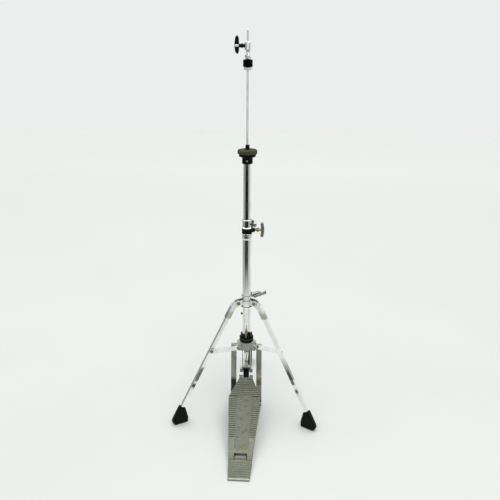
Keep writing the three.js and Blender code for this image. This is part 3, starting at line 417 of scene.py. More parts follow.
def dress(piece, body, slot, *replaced, angle=32):
    """The last step of every piece: its finish, its body and the CAD nodes that it stands for."""
    piece.data.materials.clear()
    finish = next((SPECIAL_FINISH[part] for part in (piece.name, *replaced) if part in SPECIAL_FINISH), slot)
    piece.data.materials.append(MATERIALS[finish])
    shade(piece, angle)
    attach(piece, body)
    if replaced:
        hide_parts(*replaced)
    return piece


def stand_in(name, node, piece_angle=32):
    """dress() for the one CAD node that the piece called name replaces."""
    return dress(bpy.data.objects[name], body_of_node[node], slot_of_node[node], node, angle=piece_angle)


def turned(name, profile, sides=72, shape=None):
    """A profile of (radius, height) turned about Z. shape(radius, height, angle) may change a radius."""
    points, faces = [], []
    count = len(profile)
    for i in range(sides):
        angle = 2 * math.pi * i / sides
        for radius, height in profile:
            reach = radius if shape is None else shape(radius, height, angle)
            points.append((reach * math.cos(angle), reach * math.sin(angle), height))
    closed = profile[0][0] > 1e-6
    for i in range(sides):
        for j in range(count if closed else count - 1):
            after = (j + 1) % count
            across = (i + 1) % sides
            faces.append((i * count + j, across * count + j, across * count + after, i * count + after))
    return mesh_piece(name, points, faces)


def move(piece, *matrices):
    """Moves a piece's mesh by each matrix in turn."""
    for matrix in matrices:
        piece.data.transform(matrix)
    return piece


def to(point):
    return Matrix.Translation(point)


def turn(degrees, axis):
    return Matrix.Rotation(math.radians(degrees), 4, axis)


def aim(direction):
    """Turns +Z to a direction."""
    return Vector(direction).to_track_quat("Z", "Y").to_matrix().to_4x4()


def joined(name, *pieces):
    """One object of several, each still its own closed surface."""
    sum_mesh = bmesh.new()
    for piece in pieces:
        sum_mesh.from_mesh(piece.data)
    mesh = bpy.data.meshes.new(name)
    sum_mesh.to_mesh(mesh)
    sum_mesh.free()
    for piece in pieces:
        bpy.data.objects.remove(piece)
    return link(name, mesh)


def applied(piece):
    """The piece with its modifiers made part of its mesh."""
    graph = bpy.context.evaluated_depsgraph_get()
    mesh = bpy.data.meshes.new_from_object(piece.evaluated_get(graph))
    piece.modifiers.clear()
    piece.data = mesh
    return piece


def boolean(piece, operation, *tools):
    for tool in tools:
        modifier = piece.modifiers.new("cut", "BOOLEAN")
        modifier.operation = operation
        modifier.solver = "EXACT"
        modifier.object = tool
        applied(piece)
        bpy.data.objects.remove(tool)
    return piece


def cut(piece, *tools):
    return boolean(piece, "DIFFERENCE", *tools)


def bevelled(piece, width, segments=2, angle=35):
    modifier = piece.modifiers.new("bevel", "BEVEL")
    modifier.width = width
    modifier.segments = segments
    modifier.limit_method = "ANGLE"
    modifier.angle_limit = math.radians(angle)
    return applied(piece)


def block(name, low, high):
    corners = [(x, y, z) for x in (low[0], high[0]) for y in (low[1], high[1]) for z in (low[2], high[2])]
    faces = [(0, 1, 3, 2), (4, 6, 7, 5), (0, 4, 5, 1), (2, 3, 7, 6), (0, 2, 6, 4), (1, 5, 7, 3)]
    return mesh_piece(name, corners, faces)


def rod(name, radius, start, end, sides=24):
    way = Vector(end) - Vector(start)
    piece = turned(name, [(0, 0), (radius, 0), (radius, way.length), (0, way.length)], sides)
    return move(piece, aim(way), to(Vector(start)))


def lofted(name, loops):
    """A closed body through loops of points, each with as many points, with flat ends."""
    count = len(loops[0])
    points = [point for loop in loops for point in loop]
    faces = [tuple(range(count)), tuple(range((len(loops) - 1) * count, len(loops) * count))]
    for k in range(len(loops) - 1):
        for i in range(count):
            after = (i + 1) % count
            faces.append((k * count + i, k * count + after, (k + 1) * count + after, (k + 1) * count + i))
    return mesh_piece(name, points, faces)


def softened(name, node, voxel, passes):
    """A copy of a CAD node whose edges are rounded as a casting's or a moulding's are."""
    piece = link(name, nodes[node].data.copy())
    remesh = piece.modifiers.new("remesh", "REMESH")
    remesh.mode = "VOXEL"
    remesh.voxel_size = voxel
    smooth = piece.modifiers.new("smooth", "SMOOTH")
    smooth.factor = 0.5
    smooth.iterations = passes
    return applied(piece)


def smooth_group():
    """Shades a CAD node smooth except across sharp edges, as a modifier, so that its mesh stays as it is."""
    group = bpy.data.node_groups.new("smooth_by_angle", "GeometryNodeTree")
    group.interface.new_socket("Geometry", in_out="INPUT", socket_type="NodeSocketGeometry")
    group.interface.new_socket("Geometry", in_out="OUTPUT", socket_type="NodeSocketGeometry")
    start, end = group.nodes.new("NodeGroupInput"), group.nodes.new("NodeGroupOutput")
    faces = group.nodes.new("GeometryNodeSetShadeSmooth")
    edges = group.nodes.new("GeometryNodeSetShadeSmooth")
    edges.domain = "EDGE"
    angle, sharp = group.nodes.new("GeometryNodeInputMeshEdgeAngle"), group.nodes.new("FunctionNodeCompare")
    sharp.operation = "LESS_THAN"
    sharp.inputs[1].default_value = math.radians(32)
    group.links.new(start.outputs[0], faces.inputs[0])
    group.links.new(faces.outputs[0], edges.inputs[0])
    group.links.new(angle.outputs["Unsigned Angle"], sharp.inputs[0])
    group.links.new(sharp.outputs[0], edges.inputs["Shade Smooth"])
    group.links.new(edges.outputs[0], end.inputs[0])
    return group


SMOOTH = smooth_group()


def finish_cad_nodes():
    """Gives every CAD node that still shows its material and smooth shading, and those in EDGE_WIDTHS small
    rounded edges.
    """
    for name, node in nodes.items():
        if node.hide_render:
            continue
        node.data.materials.clear()
        node.data.materials.append(MATERIALS[SPECIAL_FINISH.get(name, slot_of_node[name])])
        if name in EDGE_WIDTHS:
            bevel = node.modifiers.new("edges", "BEVEL")
            bevel.width = EDGE_WIDTHS[name]
            bevel.segments = 2
            bevel.limit_method = "ANGLE"
            bevel.angle_limit = math.radians(40)
        node.modifiers.new("smooth", "NODES").node_group = SMOOTH


# ---------- tubes and rods ----------
def centred(piece):
    return move(piece, to(tube_foot))


def tube(name, node, wall):
    low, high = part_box(node)
    radius = (high.x - low.x) / 2
    edge = 0.4 * MM
    centred(turned(name, [
        (radius - wall, low.z), (radius - edge, low.z), (radius, low.z + edge),
        (radius, high.z - edge), (radius - edge, high.z), (radius - wall, high.z),
    ], 96))
    stand_in(name, node)


def thread(pitch, depth):
    """A shape for turned(): a screw thread."""
    def shape(radius, height, angle):
        return radius - depth * (0.5 + 0.5 * math.cos(2 * math.pi * height / pitch - angle))
    return shape


def knurl(count, depth, low, high):
    """A shape for turned(): flutes between two heights."""
    def shape(radius, height, angle):
        return radius - (depth * (0.5 + 0.5 * math.cos(count * angle)) if low < height < high else 0)
    return shape


def hexagon(across, start=0.0):
    """A shape for turned(): a nut of that width across its flats, with its corners cut by the profile."""
    def shape(radius, height, angle):
        nearest = (angle - start + math.pi / 6) % (math.pi / 3) - math.pi / 6
        return min(radius, across / 2 / math.cos(nearest))
    return shape


def steps(low, high, count):
    return [low + (high - low) * i / count for i in range(count + 1)]


def add_tubes():
    tube("lower_tube_skin", "lower_tube", 1.3 * MM)
    tube("upper_tube_skin", "upper_tube", 1.3 * MM)
    low, high = height_of("height_clamp_ring")
    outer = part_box("height_clamp_ring")[1].x - tube_foot.x
    inner = 13.0 * MM
    profile = [(inner, low), (outer - 0.5 * MM, low), (outer, low + 0.12 * (high - low))]
    for part in (0.40, 0.72):
        at = low + part * (high - low)
        profile += [(outer, at - 0.5 * MM), (outer - 0.7 * MM, at), (outer, at + 0.5 * MM)]
    profile += [(outer, high - 0.6 * MM), (outer - 0.6 * MM, high), (inner, high)]
    centred(turned("clamp_ring_skin", profile, 96))
    stand_in("clamp_ring_skin", "height_clamp_ring")


# ---------- felts, seat and clutch ----------
def felt_washer(name, node, bore, corner, lumps, seed, swollen=0.0):
    """swollen is how far the felt stands over its CAD solid."""
    low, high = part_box(node)
    high.z += swollen
    radius = (high.x - low.x) / 2 - lumps
    centre = (low + high) / 2
    half = (high.z - low.z) / 2
    inner = [(bore, z) for z in steps(half - corner / 3, -half + corner / 3, 4)]
    bottom = [(r, -half) for r in steps(bore + 0.5 * MM, radius - corner, 14)]
    under = [(radius - corner + corner * math.sin(a), -half + corner - corner * math.cos(a))
             for a in steps(0.15, math.pi / 2, 7)]
    over = [(r, -z) for r, z in reversed(under)]
    top = [(r, half) for r, _ in reversed(bottom)]
    piece = turned(name, inner + bottom + under + over + top, 140)
    for vertex in piece.data.vertices:
        place = vertex.co * 260 + Vector((seed, 0, 0))
        fine = noise.noise(place) + 0.6 * noise.noise(vertex.co * 900)
        outwards = Vector((vertex.co.x, vertex.co.y, 0)).normalized()
        vertex.co += outwards * fine * lumps * (vertex.co.xy.length / radius) ** 2
        vertex.co.z -= abs(fine) * lumps * 0.7 * (1 if vertex.co.z > 0 else -1)
    move(piece, to(centre))
    stand_in(name, node, 180)


SLEEVE_BORE = 5.9 * MM  # radius of the bores round the seat's sleeve
CLUTCH_BORE = 5.3 * MM  # radius of the bores round the clutch's threaded tube
CLUTCH_RADIUS = 8.6 * MM  # of the clutch's body


def add_seat():
    low, high = height_of("seat_cup")
    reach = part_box("seat_cup")[1].x - tube_foot.x
    flange = high - 7 * MM
    neck = 13.8 * MM
    profile = [(11.4 * MM, low), (neck - 0.8 * MM, low), (neck, low + 0.8 * MM), (neck, flange - 2.4 * MM)]
    profile += [(neck + 1.5 * MM * (1 - math.cos(a)), flange - 2.4 * MM + 1.5 * MM * math.sin(a))
                for a in steps(0.2, math.pi / 2, 4)]
    profile += [(reach - 2.2 * MM, flange + 0.6 * MM)]
    profile += [(reach - 2 * MM + 2 * MM * math.sin(a), flange + 2.8 * MM - 2 * MM * math.cos(a))
                for a in steps(0.3, math.pi / 2, 5)]
    profile += [
        (reach, high - 1.2 * MM), (reach - 1.2 * MM, high), (SLEEVE_BORE, high),
        (SLEEVE_BORE, flange + 2 * MM), (3.6 * MM, flange + 2 * MM), (3.6 * MM, flange), (11.4 * MM, flange),
    ]
    centred(turned("seat_cup_moulding", profile, 96))
    stand_in("seat_cup_moulding", "seat_cup", 40)
    felt_washer("seat_felt_washer", "seat_felt", SLEEVE_BORE, 3.6 * MM, 0.6 * MM, 3.0, 2.6 * MM)

    low, high = height_of("seat_sleeve")
    ridged = [(5.6 * MM, z) for z in steps(low + 0.4 * MM, high - 0.6 * MM, 120)]
    profile = [(3.5 * MM, low), (5.2 * MM, low), *ridged, (5.0 * MM, high), (3.5 * MM, high)]
    centred(turned("seat_sleeve_thread", profile, 48, thread(1.25 * MM, 0.4 * MM)))
    stand_in("seat_sleeve_thread", "seat_sleeve", 60)


def add_clutch():
    rod_gap = 3.3 * MM
    low, high = height_of("clutch_bottom_nut")
    outer = 9.5 * MM
    centred(turned("clutch_bottom_nut_knurled", [
        (CLUTCH_BORE, low), (outer - 1 * MM, low), (outer, low + 1 * MM), (outer, low + 1.3 * MM),
        (outer, high - 1.3 * MM), (outer, high - 1 * MM), (outer - 1 * MM, high), (CLUTCH_BORE, high),
    ], 216, knurl(36, 0.45 * MM, low + 1.2 * MM, high - 1.2 * MM)))
    stand_in("clutch_bottom_nut_knurled", "clutch_bottom_nut", 40)
    between_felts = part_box("clutch_upper_felt")[0].z - height_of("clutch_lower_felt")[1]
    felt_washer("clutch_lower_felt_washer", "clutch_lower_felt", CLUTCH_BORE, 0.5 * MM, 0.12 * MM, 11.0,
                max(0, between_felts - 0.1 * MM))
    felt_washer("clutch_upper_felt_washer", "clutch_upper_felt", CLUTCH_BORE, 0.5 * MM, 0.12 * MM, 17.0)

    low, high = height_of("clutch_lock_nuts")
    half = (high - low) / 2 - 0.2 * MM
    corner = 8 * MM
    nuts = []
    for bottom, start in ((low, 0.2), (high - half, 0.75)):
        top = bottom + half
        profile = [
            (CLUTCH_BORE, bottom), (6.7 * MM, bottom), (corner, bottom + 0.7 * MM),
            (corner, top - 0.7 * MM), (6.7 * MM, top), (CLUTCH_BORE, top),
        ]
        nuts.append(turned("nut", profile, 144, hexagon(13.9 * MM, start)))
    centred(joined("clutch_hex_nuts", *nuts))
    stand_in("clutch_hex_nuts", "clutch_lock_nuts", 25)

    low, high = height_of("clutch_tube")
    ridged = [(5 * MM, z) for z in steps(low + 0.3 * MM, high - 0.3 * MM, 220)]
    profile = [(rod_gap, low), (4.5 * MM, low), *ridged, (4.5 * MM, high), (rod_gap, high)]
    centred(turned("clutch_threaded_tube", profile, 48, thread(1.25 * MM, 0.45 * MM)))
    stand_in("clutch_threaded_tube", "clutch_tube", 60)

    low, high = height_of("clutch_body")
    outer = CLUTCH_RADIUS
    wing_height = (low + high) / 2
    body = turned("clutch_body_turned", [
        (rod_gap, low), (outer - 1.6 * MM, low), (outer - 0.5 * MM, low + 0.5 * MM), (outer, low + 1.4 * MM),
        (outer, high - 4 * MM), (outer - 0.5 * MM, high - 3.4 * MM), (outer, high - 2.8 * MM),
        (outer, high - 2 * MM), (outer - 0.6 * MM, high - 0.8 * MM), (outer - 2 * MM, high), (rod_gap, high),
    ], 96)
    cut(body, rod("bore", 3.3 * MM, (-12 * MM, 0, wing_height), (0, 0, wing_height)))
    centred(body)
    stand_in("clutch_body_turned", "clutch_body", 35)

    softened("clutch_wing_moulding", "clutch_wing_bolt", 0.45 * MM, 3)
    stand_in("clutch_wing_moulding", "clutch_wing_bolt", 180)
    sleeve = turned("clutch_wing_sleeve", [
        (3.3 * MM, 2.5 * MM), (4.9 * MM, 2.9 * MM), (5.0 * MM, 3.4 * MM), (5.0 * MM, 7.2 * MM),
        (4.9 * MM, 7.7 * MM), (3.3 * MM, 8.1 * MM),
    ], 48)
    move(sleeve, turn(-90, "Y"), to((-8.9 * MM, 0, wing_height)))
    hub_root = CLUTCH_RADIUS + 12.5 * MM
    hub_length = tube_foot.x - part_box("clutch_wing_bolt")[0].x - hub_root - 0.2 * MM
    unit = hub_length / 12.8
    hub = turned("clutch_wing_hub", [
        (0, 0), (3.6 * MM, 0), (3.9 * MM, 0.5 * unit), (3.9 * MM, 11.5 * unit), (3.2 * MM, 12.4 * unit),
        (0, hub_length),
    ], 48)
    move(hub, turn(-90, "Y"), to((-hub_root, 0, wing_height)))
    dress(centred(sleeve), "clutch_wing", "black_metal")
    dress(centred(hub), "clutch_wing", "steel")


# ---------- height clamp, memory lock and their bolts ----------
def add_clamp():
    softened("height_t_bolt_casting", "height_t_bolt", 0.5 * MM, 3)
    stand_in("height_t_bolt_casting", "height_t_bolt", 180)
    axis_point = Vector(joints["height_bolt_turn"]["pos_m"])
    start = axis_point.x - 3.5 * MM
    nut = turned("height_bolt_nut", [
        (4.1 * MM, 0), (5.4 * MM, 0), (6.2 * MM, 0.7 * MM),
        (6.2 * MM, 4.6 * MM), (5.4 * MM, 5.3 * MM), (4.1 * MM, 5.3 * MM),
    ], 72, hexagon(10.8 * MM))
    move(nut, turn(90, "Y"), to((start, axis_point.y, axis_point.z)))
    dress(nut, "height_bolt", "brass")

    low, high = height_of("memory_lock")
    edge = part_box("memory_lock")[1].x - tube_foot.x
    outer = 13.6 * MM
    key = Vector(joints["memory_key_turn"]["pos_m"]) - tube_foot
    ring = turned("memory_lock_clamp", [
        (11.5 * MM, low), (outer + 1.6 * MM, low), (outer + 1.9 * MM, low + 0.8 * MM),
        (outer + 1.9 * MM, low + 1.6 * MM), (outer, low + 2.8 * MM), (outer, high - 3.4 * MM),
        (outer + 0.7 * MM, high - 2.6 * MM), (outer + 0.7 * MM, high - 0.6 * MM),
        (outer, high), (11.5 * MM, high),
    ], 96)
    lug_radius = edge - key.x
    lug = turned("lug", [
        (0, -6.5 * MM), (lug_radius - 0.8 * MM, -6.5 * MM), (lug_radius, -5.7 * MM), (lug_radius, 5.7 * MM),
        (lug_radius - 0.8 * MM, 6.5 * MM), (0, 6.5 * MM),
    ], 48)
    move(lug, turn(90, "X"), to((key.x, 0, key.z)))
    neck = block("neck", (12.5 * MM, -6 * MM, key.z - 5.5 * MM), (key.x, 6 * MM, key.z + 5.5 * MM))
    upper = block("upper", (12.5 * MM, -4.5 * MM, key.z + 4 * MM), (key.x - 2 * MM, 4.5 * MM, high - 2 * MM))
    boolean(ring, "UNION", lug)
    boolean(ring, "UNION", neck)
    boolean(ring, "UNION", upper)
    cut(ring, rod("bore", 11.45 * MM, (0, 0, low - 1 * MM), (0, 0, high + 1 * MM), 96))
    cut(ring, block("slit", (9 * MM, -0.9 * MM, low - 1 * MM), (edge + 2 * MM, 0.9 * MM, high + 1 * MM)))
    cut(ring, rod("screw_hole", 2.8 * MM, (key.x, -9 * MM, key.z), (key.x, 9 * MM, key.z)))
    bevelled(ring, 0.4 * MM)
    centred(ring)
    stand_in("memory_lock_clamp", "memory_lock", 35)


# ---------- base ----------
def add_base():
    softened("base_casting_body", "base_casting", 0.85 * MM, 4)
    stand_in("base_casting_body", "base_casting", 180)
    softened("spring_cap_casting", "spring_cap", 0.45 * MM, 2)
    stand_in("spring_cap_casting", "spring_cap", 180)
    low, high = height_of("tension_dial")
    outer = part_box("tension_dial")[1].x - tube_foot.x
    inner = 16.3 * MM
    rim = high - 5.2 * MM
    fluted = [(outer, z) for z in steps(low + 2.2 * MM, rim - 1 * MM, 6)]
    centred(turned("tension_dial_knob", [
        (inner, low), (outer - 2 * MM, low), (outer - 0.5 * MM, low + 1 * MM), (outer, low + 1.8 * MM),
        *fluted, (outer, rim - 0.6 * MM), (outer - 1 * MM, rim), (outer - 1 * MM, rim + 0.8 * MM),
        (outer, rim + 1.3 * MM),
        (outer, high - 1.6 * MM), (outer - 1.4 * MM, high), (inner, high),
    ], 288, knurl(24, 1.5 * MM, low + 2 * MM, rim - 0.8 * MM)))
    stand_in("tension_dial_knob", "tension_dial", 40)
    # painted highlight: a thin steel band in the dial's rim groove stands in for the highlight along the rim's
    # edge
    band = centred(turned("tension_dial_highlight_band", [
        (outer - 1.1 * MM, rim - 0.05 * MM), (outer - 0.45 * MM, rim + 0.05 * MM),
        (outer - 0.45 * MM, rim + 0.75 * MM), (outer - 1.1 * MM, rim + 0.85 * MM),
    ], 96))
    dress(band, "dial", "steel")
    softened("tension_lock_leaf", "tension_lock_screw", 0.35 * MM, 3)
    stand_in("tension_lock_leaf", "tension_lock_screw", 180)

    front = tube_foot.y - 11 * MM
    bolt_height = low - 23.5 * MM
    for name, side in (("left", -1), ("right", 1)):
        bolt = hex_bolt("casting_bolt_" + name, 4.4 * MM, 3.4 * MM)
        move(bolt, turn(90, "X"), to((tube_foot.x + side * 21.5 * MM, front, bolt_height)))
        dress(bolt, "base", "steel")
    wire, turns, radius = 0.9 * MM, 7, 5.6 * MM
    low, high = height_of("return_spring")
    low += 3 * MM  # over the lower end of the record's spring
    coil = []
    up = Vector((0, 0, 1))
    turn_steps = 32
    for k in range(turns * turn_steps + 1):
        angle = 2 * math.pi * k / turn_steps
        centre = Vector((radius * math.cos(angle), radius * math.sin(angle), 0))
        centre.z = low + wire + (high - low - 2 * wire) * k / (turns * turn_steps)
        out = Vector((math.cos(angle), math.sin(angle), 0))
        coil.append([centre + wire * (out * math.cos(b) + up * math.sin(b)) for b in steps(0, 5.5, 7)])
    centred(lofted("return_spring_coil", coil))
    stand_in("return_spring_coil", "return_spring", 60)


def hex_bolt(name, radius, height):
    """A bolt head that stands on z = 0, with its washer."""
    washer = turned("washer", [(0, 0), (radius * 1.35, 0), (radius * 1.35, 0.8 * MM), (0, 0.8 * MM)], 36)
    head = turned("head", [
        (0, 0.8 * MM), (radius, 0.8 * MM), (radius, height - 0.6 * MM), (radius * 0.86, height), (0, height),
    ], 72, hexagon(radius * 1.74))
    return joined(name, washer, head)


# ---------- pedal ----------
hinge_place = Vector(joints["footboard_press"]["pos_m"])
strap_anchor = Vector(joints["strap_swing"]["pos_m"])
BOARD_THICKNESS = 5 * MM
ANCHOR_ALONG = 252 * MM  # of the strap's anchor from the hinge, half a thickness over the board's underside
board_tilt = (math.atan2(strap_anchor.z - hinge_place.z, strap_anchor.y - hinge_place.y)
              - math.atan2(BOARD_THICKNESS / 2, ANCHOR_ALONG))
board_place = to(hinge_place) @ turn(math.degrees(board_tilt), "X")  # +Y along the board, +Z out of its top

BOARD_LENGTH = 257 * MM
BOARD_HEEL = -7 * MM
HEEL_HALF, WIDEST_HALF, NECK_HALF = 31 * MM, 46 * MM, 20 * MM
WIDEST_FROM, WIDEST_TO, NECK_AT = 171 * MM, 183 * MM, 247 * MM
RIBS_FROM = 57 * MM
RIB_PITCH = 6.6 * MM
TOE_RIBS_FROM = 184 * MM
TOE_RIB_PITCH = 6.4 * MM
NOTCH_HALF, NOTCH_DEPTH = 10.05 * MM, 9 * MM


def board_half_width(along):
    if along < WIDEST_FROM:
        return HEEL_HALF + (WIDEST_HALF - HEEL_HALF) * (along - BOARD_HEEL) / (WIDEST_FROM - BOARD_HEEL)
    if along < WIDEST_TO:
        return WIDEST_HALF
    if along < NECK_AT:
        return WIDEST_HALF - (WIDEST_HALF - NECK_HALF) * (along - WIDEST_TO) / (NECK_AT - WIDEST_TO)
    return NECK_HALF + 1 * MM * (along - NECK_AT) / (BOARD_LENGTH - NECK_AT)


def ramp(value, start, end):
    """0 before start and 1 after end, smoothly between them."""
    share = min(1, max(0, (value - start) / (end - start)))
    return share * share * (3 - 2 * share)


def rib(along, start, pitch):
    """The height, from 0 to 1, of narrow grooves between broad ribs."""
    return 1 - ramp(abs((along - start) % pitch - pitch / 2), pitch * 0.5 - 1.7 * MM, pitch * 0.5 - 0.5 * MM)


def board_relief(along, across):
    """How far the board's top lies under its highest level."""
    reach = abs(across)
    half = board_half_width(along)
    in_panel = ramp(PANEL_HALF - reach, 0, 0.9 * MM) * ramp(along, PANEL_FROM, PANEL_FROM + 1 * MM)
    in_panel *= 1 - ramp(along, PANEL_TO, PANEL_TO + 1 * MM)
    depth = 0.9 * MM * in_panel
    edge = ramp(half - reach, 1.6 * MM, 2.6 * MM)
    if along > TOE_RIBS_FROM and along < BOARD_LENGTH - 12 * MM:
        depth += 1.5 * MM * (1 - rib(along, TOE_RIBS_FROM, TOE_RIB_PITCH)) * edge
    elif RIBS_FROM < along <= TOE_RIBS_FROM:
        column = ramp(reach, PANEL_HALF + 1.5 * MM, PANEL_HALF + 2.5 * MM) * edge
        depth += 1.5 * MM * (1 - rib(along, RIBS_FROM, RIB_PITCH)) * column
    return depth + 1.1 * MM * (1 - ramp(half - reach, 0, 1.5 * MM)) ** 2


def board_loops():
    count = round((BOARD_LENGTH - BOARD_HEEL) / (0.55 * MM))
    top_steps = steps(-1, 1, 84)
    loops = []
    for along in steps(BOARD_HEEL, BOARD_LENGTH, count):
        half = board_half_width(along)
        wall = 4 * MM
        skirted = ramp(along, 10 * MM, 14 * MM) * (1 - ramp(along, NECK_AT - 10 * MM, NECK_AT - 6 * MM))
        foot = -4 * MM * skirted
        inside = half - wall
        loop = [(s * half, along, BOARD_THICKNESS - board_relief(along, s * half)) for s in top_steps]
        chamfer = 0.6 * MM
        skirt = [(half, foot + chamfer), (half - chamfer, foot), (inside, foot), (inside, 0)]
        loop += [(x, along, z) for x, z in skirt]
        loop += [(-x, along, z) for x, z in reversed(skirt)]
        loops.append(loop)
    return loops


def add_footboard():
    board = lofted("footboard_casting", board_loops())
    knuckle = rod("knuckle", 6.3 * MM, (-HEEL_HALF + 1 * MM, 0, 0), (HEEL_HALF - 1 * MM, 0, 0), 48)
    boolean(board, "UNION", knuckle)
    slot_half = 17.5 * MM
    cut(board, block("tab_slot", (-slot_half, -20 * MM, -20 * MM), (slot_half, 11.3 * MM, 20 * MM)))
    cut(board, rod("pin_hole", 2.8 * MM, (-50 * MM, 0, 0), (50 * MM, 0, 0)))
    notch_from = BOARD_LENGTH - NOTCH_DEPTH
    beyond = BOARD_LENGTH + 9 * MM
    cut(board, block("notch", (-NOTCH_HALF, notch_from, -9 * MM), (NOTCH_HALF, beyond, 9 * MM)))
    for along in steps(57 * MM, 171 * MM, 4):
        cut(board, rod("panel_hole", 1.9 * MM, (-12 * MM, along, -9 * MM), (-12 * MM, along, 9 * MM), 20))
    move(board, board_place)
    stand_in("footboard_casting", "footboard", 30)

    screw = pan_screw("strap_screw", 3.2 * MM, 1.9 * MM)
    move(screw, to((0, BOARD_LENGTH - 17 * MM, BOARD_THICKNESS - 1 * MM)), board_place)
    dress(screw, "footboard", "steel")
    for name, along in (("upper", 172 * MM), ("lower", 160 * MM)):
        side_screw = pan_screw("side_screw_" + name, 3.2 * MM, 3.6 * MM)
        root = (board_half_width(along) - 0.5 * MM, along, 0.4 * MM)
        move(side_screw, turn(90, "Y"), to(root), board_place)
        dress(side_screw, "footboard", "black_metal")


def pan_screw(name, radius, height):
    """A domed screw head with a driver's slot, standing on z = 0."""
    arc = steps(0, math.pi / 2 - 0.02, 7)
    dome = [(radius * math.cos(a), height * (0.35 + 0.65 * math.sin(a))) for a in arc]
    head = turned(name, [(0, -1 * MM), (radius, -1 * MM), *dome, (0, height)], 36)
    slot = block("slot", (-radius * 2, -0.35 * MM, height * 0.45), (radius * 2, 0.35 * MM, height * 2))
    return cut(head, slot)


def add_heel():
    low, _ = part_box("heel_plate")
    back = hinge_place.y - 10.5 * MM
    front_half, back_half = 27.5 * MM, HEEL_HALF
    lip, top = 5 * MM, 14 * MM
    loops = []
    for y in steps(low.y, back, 130):
        share = (y - low.y) / (back - low.y)
        half = front_half + (back_half - front_half) * share
        slope = lip + (top - lip) * max(0, (y - low.y - 6 * MM) / (back - low.y - 6 * MM))
        bead = 1.5 * MM * math.exp(-(((y - low.y - 3 * MM) / (1.5 * MM)) ** 2))
        ribbed = ramp(y, low.y + 9 * MM, low.y + 11 * MM) * (1 - ramp(y, back - 6 * MM, back - 4 * MM))
        loop = []
        for s in steps(-1, 1, 44):
            reach = abs(s) * half
            groove = 1.0 * MM * (1 - rib(y, low.y + 10 * MM, RIB_PITCH)) * ribbed
            groove *= ramp(half - reach, 2 * MM, 3 * MM)
            rounding = 1.0 * MM * (1 - ramp(half - reach, 0, 1.5 * MM)) ** 2
            loop.append((s * half, y, slope + bead - groove - rounding))
        loop += [(half, y, 0.5 * MM), (half - 0.5 * MM, y, 0), (-half + 0.5 * MM, y, 0), (-half, y, 0.5 * MM)]
        loops.append(loop)
    heel = lofted("heel_casting", loops)
    tab_half = 15 * MM
    tab_end = hinge_place.y + 2 * MM
    tab = block("tab", (-tab_half, back - 0.6 * MM, 3.9 * MM), (tab_half, tab_end, top - 0.05 * MM))
    axis = hinge_place.yz
    barrel = rod("barrel", 6.9 * MM, (-tab_half, *axis), (tab_half, *axis), 48)
    boolean(tab, "UNION", barrel)
    cut(tab, block("under", (-30 * MM, back - 9 * MM, -5 * MM), (30 * MM, hinge_place.y + 20 * MM, 3.9 * MM)))
    boolean(heel, "UNION", tab)
    cut(heel, rod("pin_hole", 2.8 * MM, (-50 * MM, *axis), (50 * MM, *axis)))
    for side in (-1, 1):
        bar_low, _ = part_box("frame_bar_left" if side < 0 else "frame_bar_right")
        near, far = sorted((side * 6.9 * MM, side * 28.1 * MM))
        cut(heel, block("pocket", (near, bar_low.y - 0.6 * MM, -1 * MM), (far, back + 1 * MM, 4.1 * MM)))
    move(heel, to((hinge_place.x, 0, 0)))
    stand_in("heel_casting", "heel_plate", 30)


def add_linkage():
    softened("toe_strap_rubber", "toe_strap", 0.4 * MM, 1)
    stand_in("toe_strap_rubber", "toe_strap", 180)
    low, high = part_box("rod_connector")
    bore = 3.3 * MM
    span = high.z - low.z
    centred(turned("rod_connector_cone", [
        (bore, low.z), (5.0 * MM, low.z), (5.6 * MM, low.z + 0.6 * MM), (5.6 * MM, low.z + 3 * MM),
        (5.0 * MM, low.z + 0.14 * span), (5.2 * MM, low.z + 0.2 * span), (7.2 * MM, high.z - 3 * MM),
        (7.25 * MM, high.z - 1.8 * MM), (6.4 * MM, high.z), (bore, high.z),
    ], 72))
    stand_in("rod_connector_cone", "rod_connector")


# ---------- rubber feet ----------
FOOT_GROOVES = (5.5 * MM, 9.5 * MM, 13.5 * MM)  # heights over the floor
FOOT_GROOVE_REACH = 0.9 * MM
FOOT_GROOVE_DEPTH = 0.7 * MM


def add_feet():
    for name in LEG_NAMES:
        node = "foot_" + name
        foot = softened(node + "_boot", node, 0.9 * MM, 5)
        pivot = Vector(joints["leg_" + name + "_fold"]["pos_m"])
        way = (middle(node) - pivot).normalized()
        low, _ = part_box(node)
        for vertex in foot.data.vertices:
            above = vertex.co.z
            groove = sum(math.exp(-(((above - height) / FOOT_GROOVE_REACH) ** 2)) for height in FOOT_GROOVES)
            axis = pivot + way * (vertex.co - pivot).dot(way)
            out = vertex.co - axis
            out.z = 0
            if above < 20 * MM and out.length > 4 * MM:
                vertex.co -= out.normalized() * FOOT_GROOVE_DEPTH * groove
            if above < 0.6 * MM:
                vertex.co.z = max(vertex.co.z, low.z)
        stand_in(foot.name, node, 180)


# ---------- small fasteners ----------
def add_collar_bolt():
    softened("collar_wing_casting", "collar_wing_bolt", 0.45 * MM, 3)
    stand_in("collar_wing_casting", "collar_wing_bolt", 180)


EDGE_WIDTHS = {
    **{name + "_" + leg: 0.5 * MM for name in ("leg", "knee_bracket", "brace") for leg in LEG_NAMES},
    **{end + "_rivet_" + leg: 0.8 * MM for end in ("collar", "brace_root", "brace_tip") for leg in LEG_NAMES},
    **{name + "_" + side: 0.5 * MM for name in ("frame_bar", "bar_bolt") for side in ("left", "right")},
    "leg_collar": 0.45 * MM,
    "clamp_bushing": 0.5 * MM,
    "pull_yoke": 0.5 * MM,
    "rod_lock_nut": 0.5 * MM,
    "memory_lock_screw": 0.4 * MM,
}


# ---------- stage: floor, light and camera ----------
CAMERA_PLACE = Vector((74.4, -1287.5, 995.3)) * MM  # from the foot of the tube's axis
CAMERA_HEADING = Vector((-0.05116, 0.99869, 0))
CAMERA_PITCH = 20.83
CAMERA_ROLL = 0.428
CAMERA_LENS = 36.07
BACKDROP = (0.84, 0.85, 0.845, 1)
BACKDROP_STRENGTH = 1.0


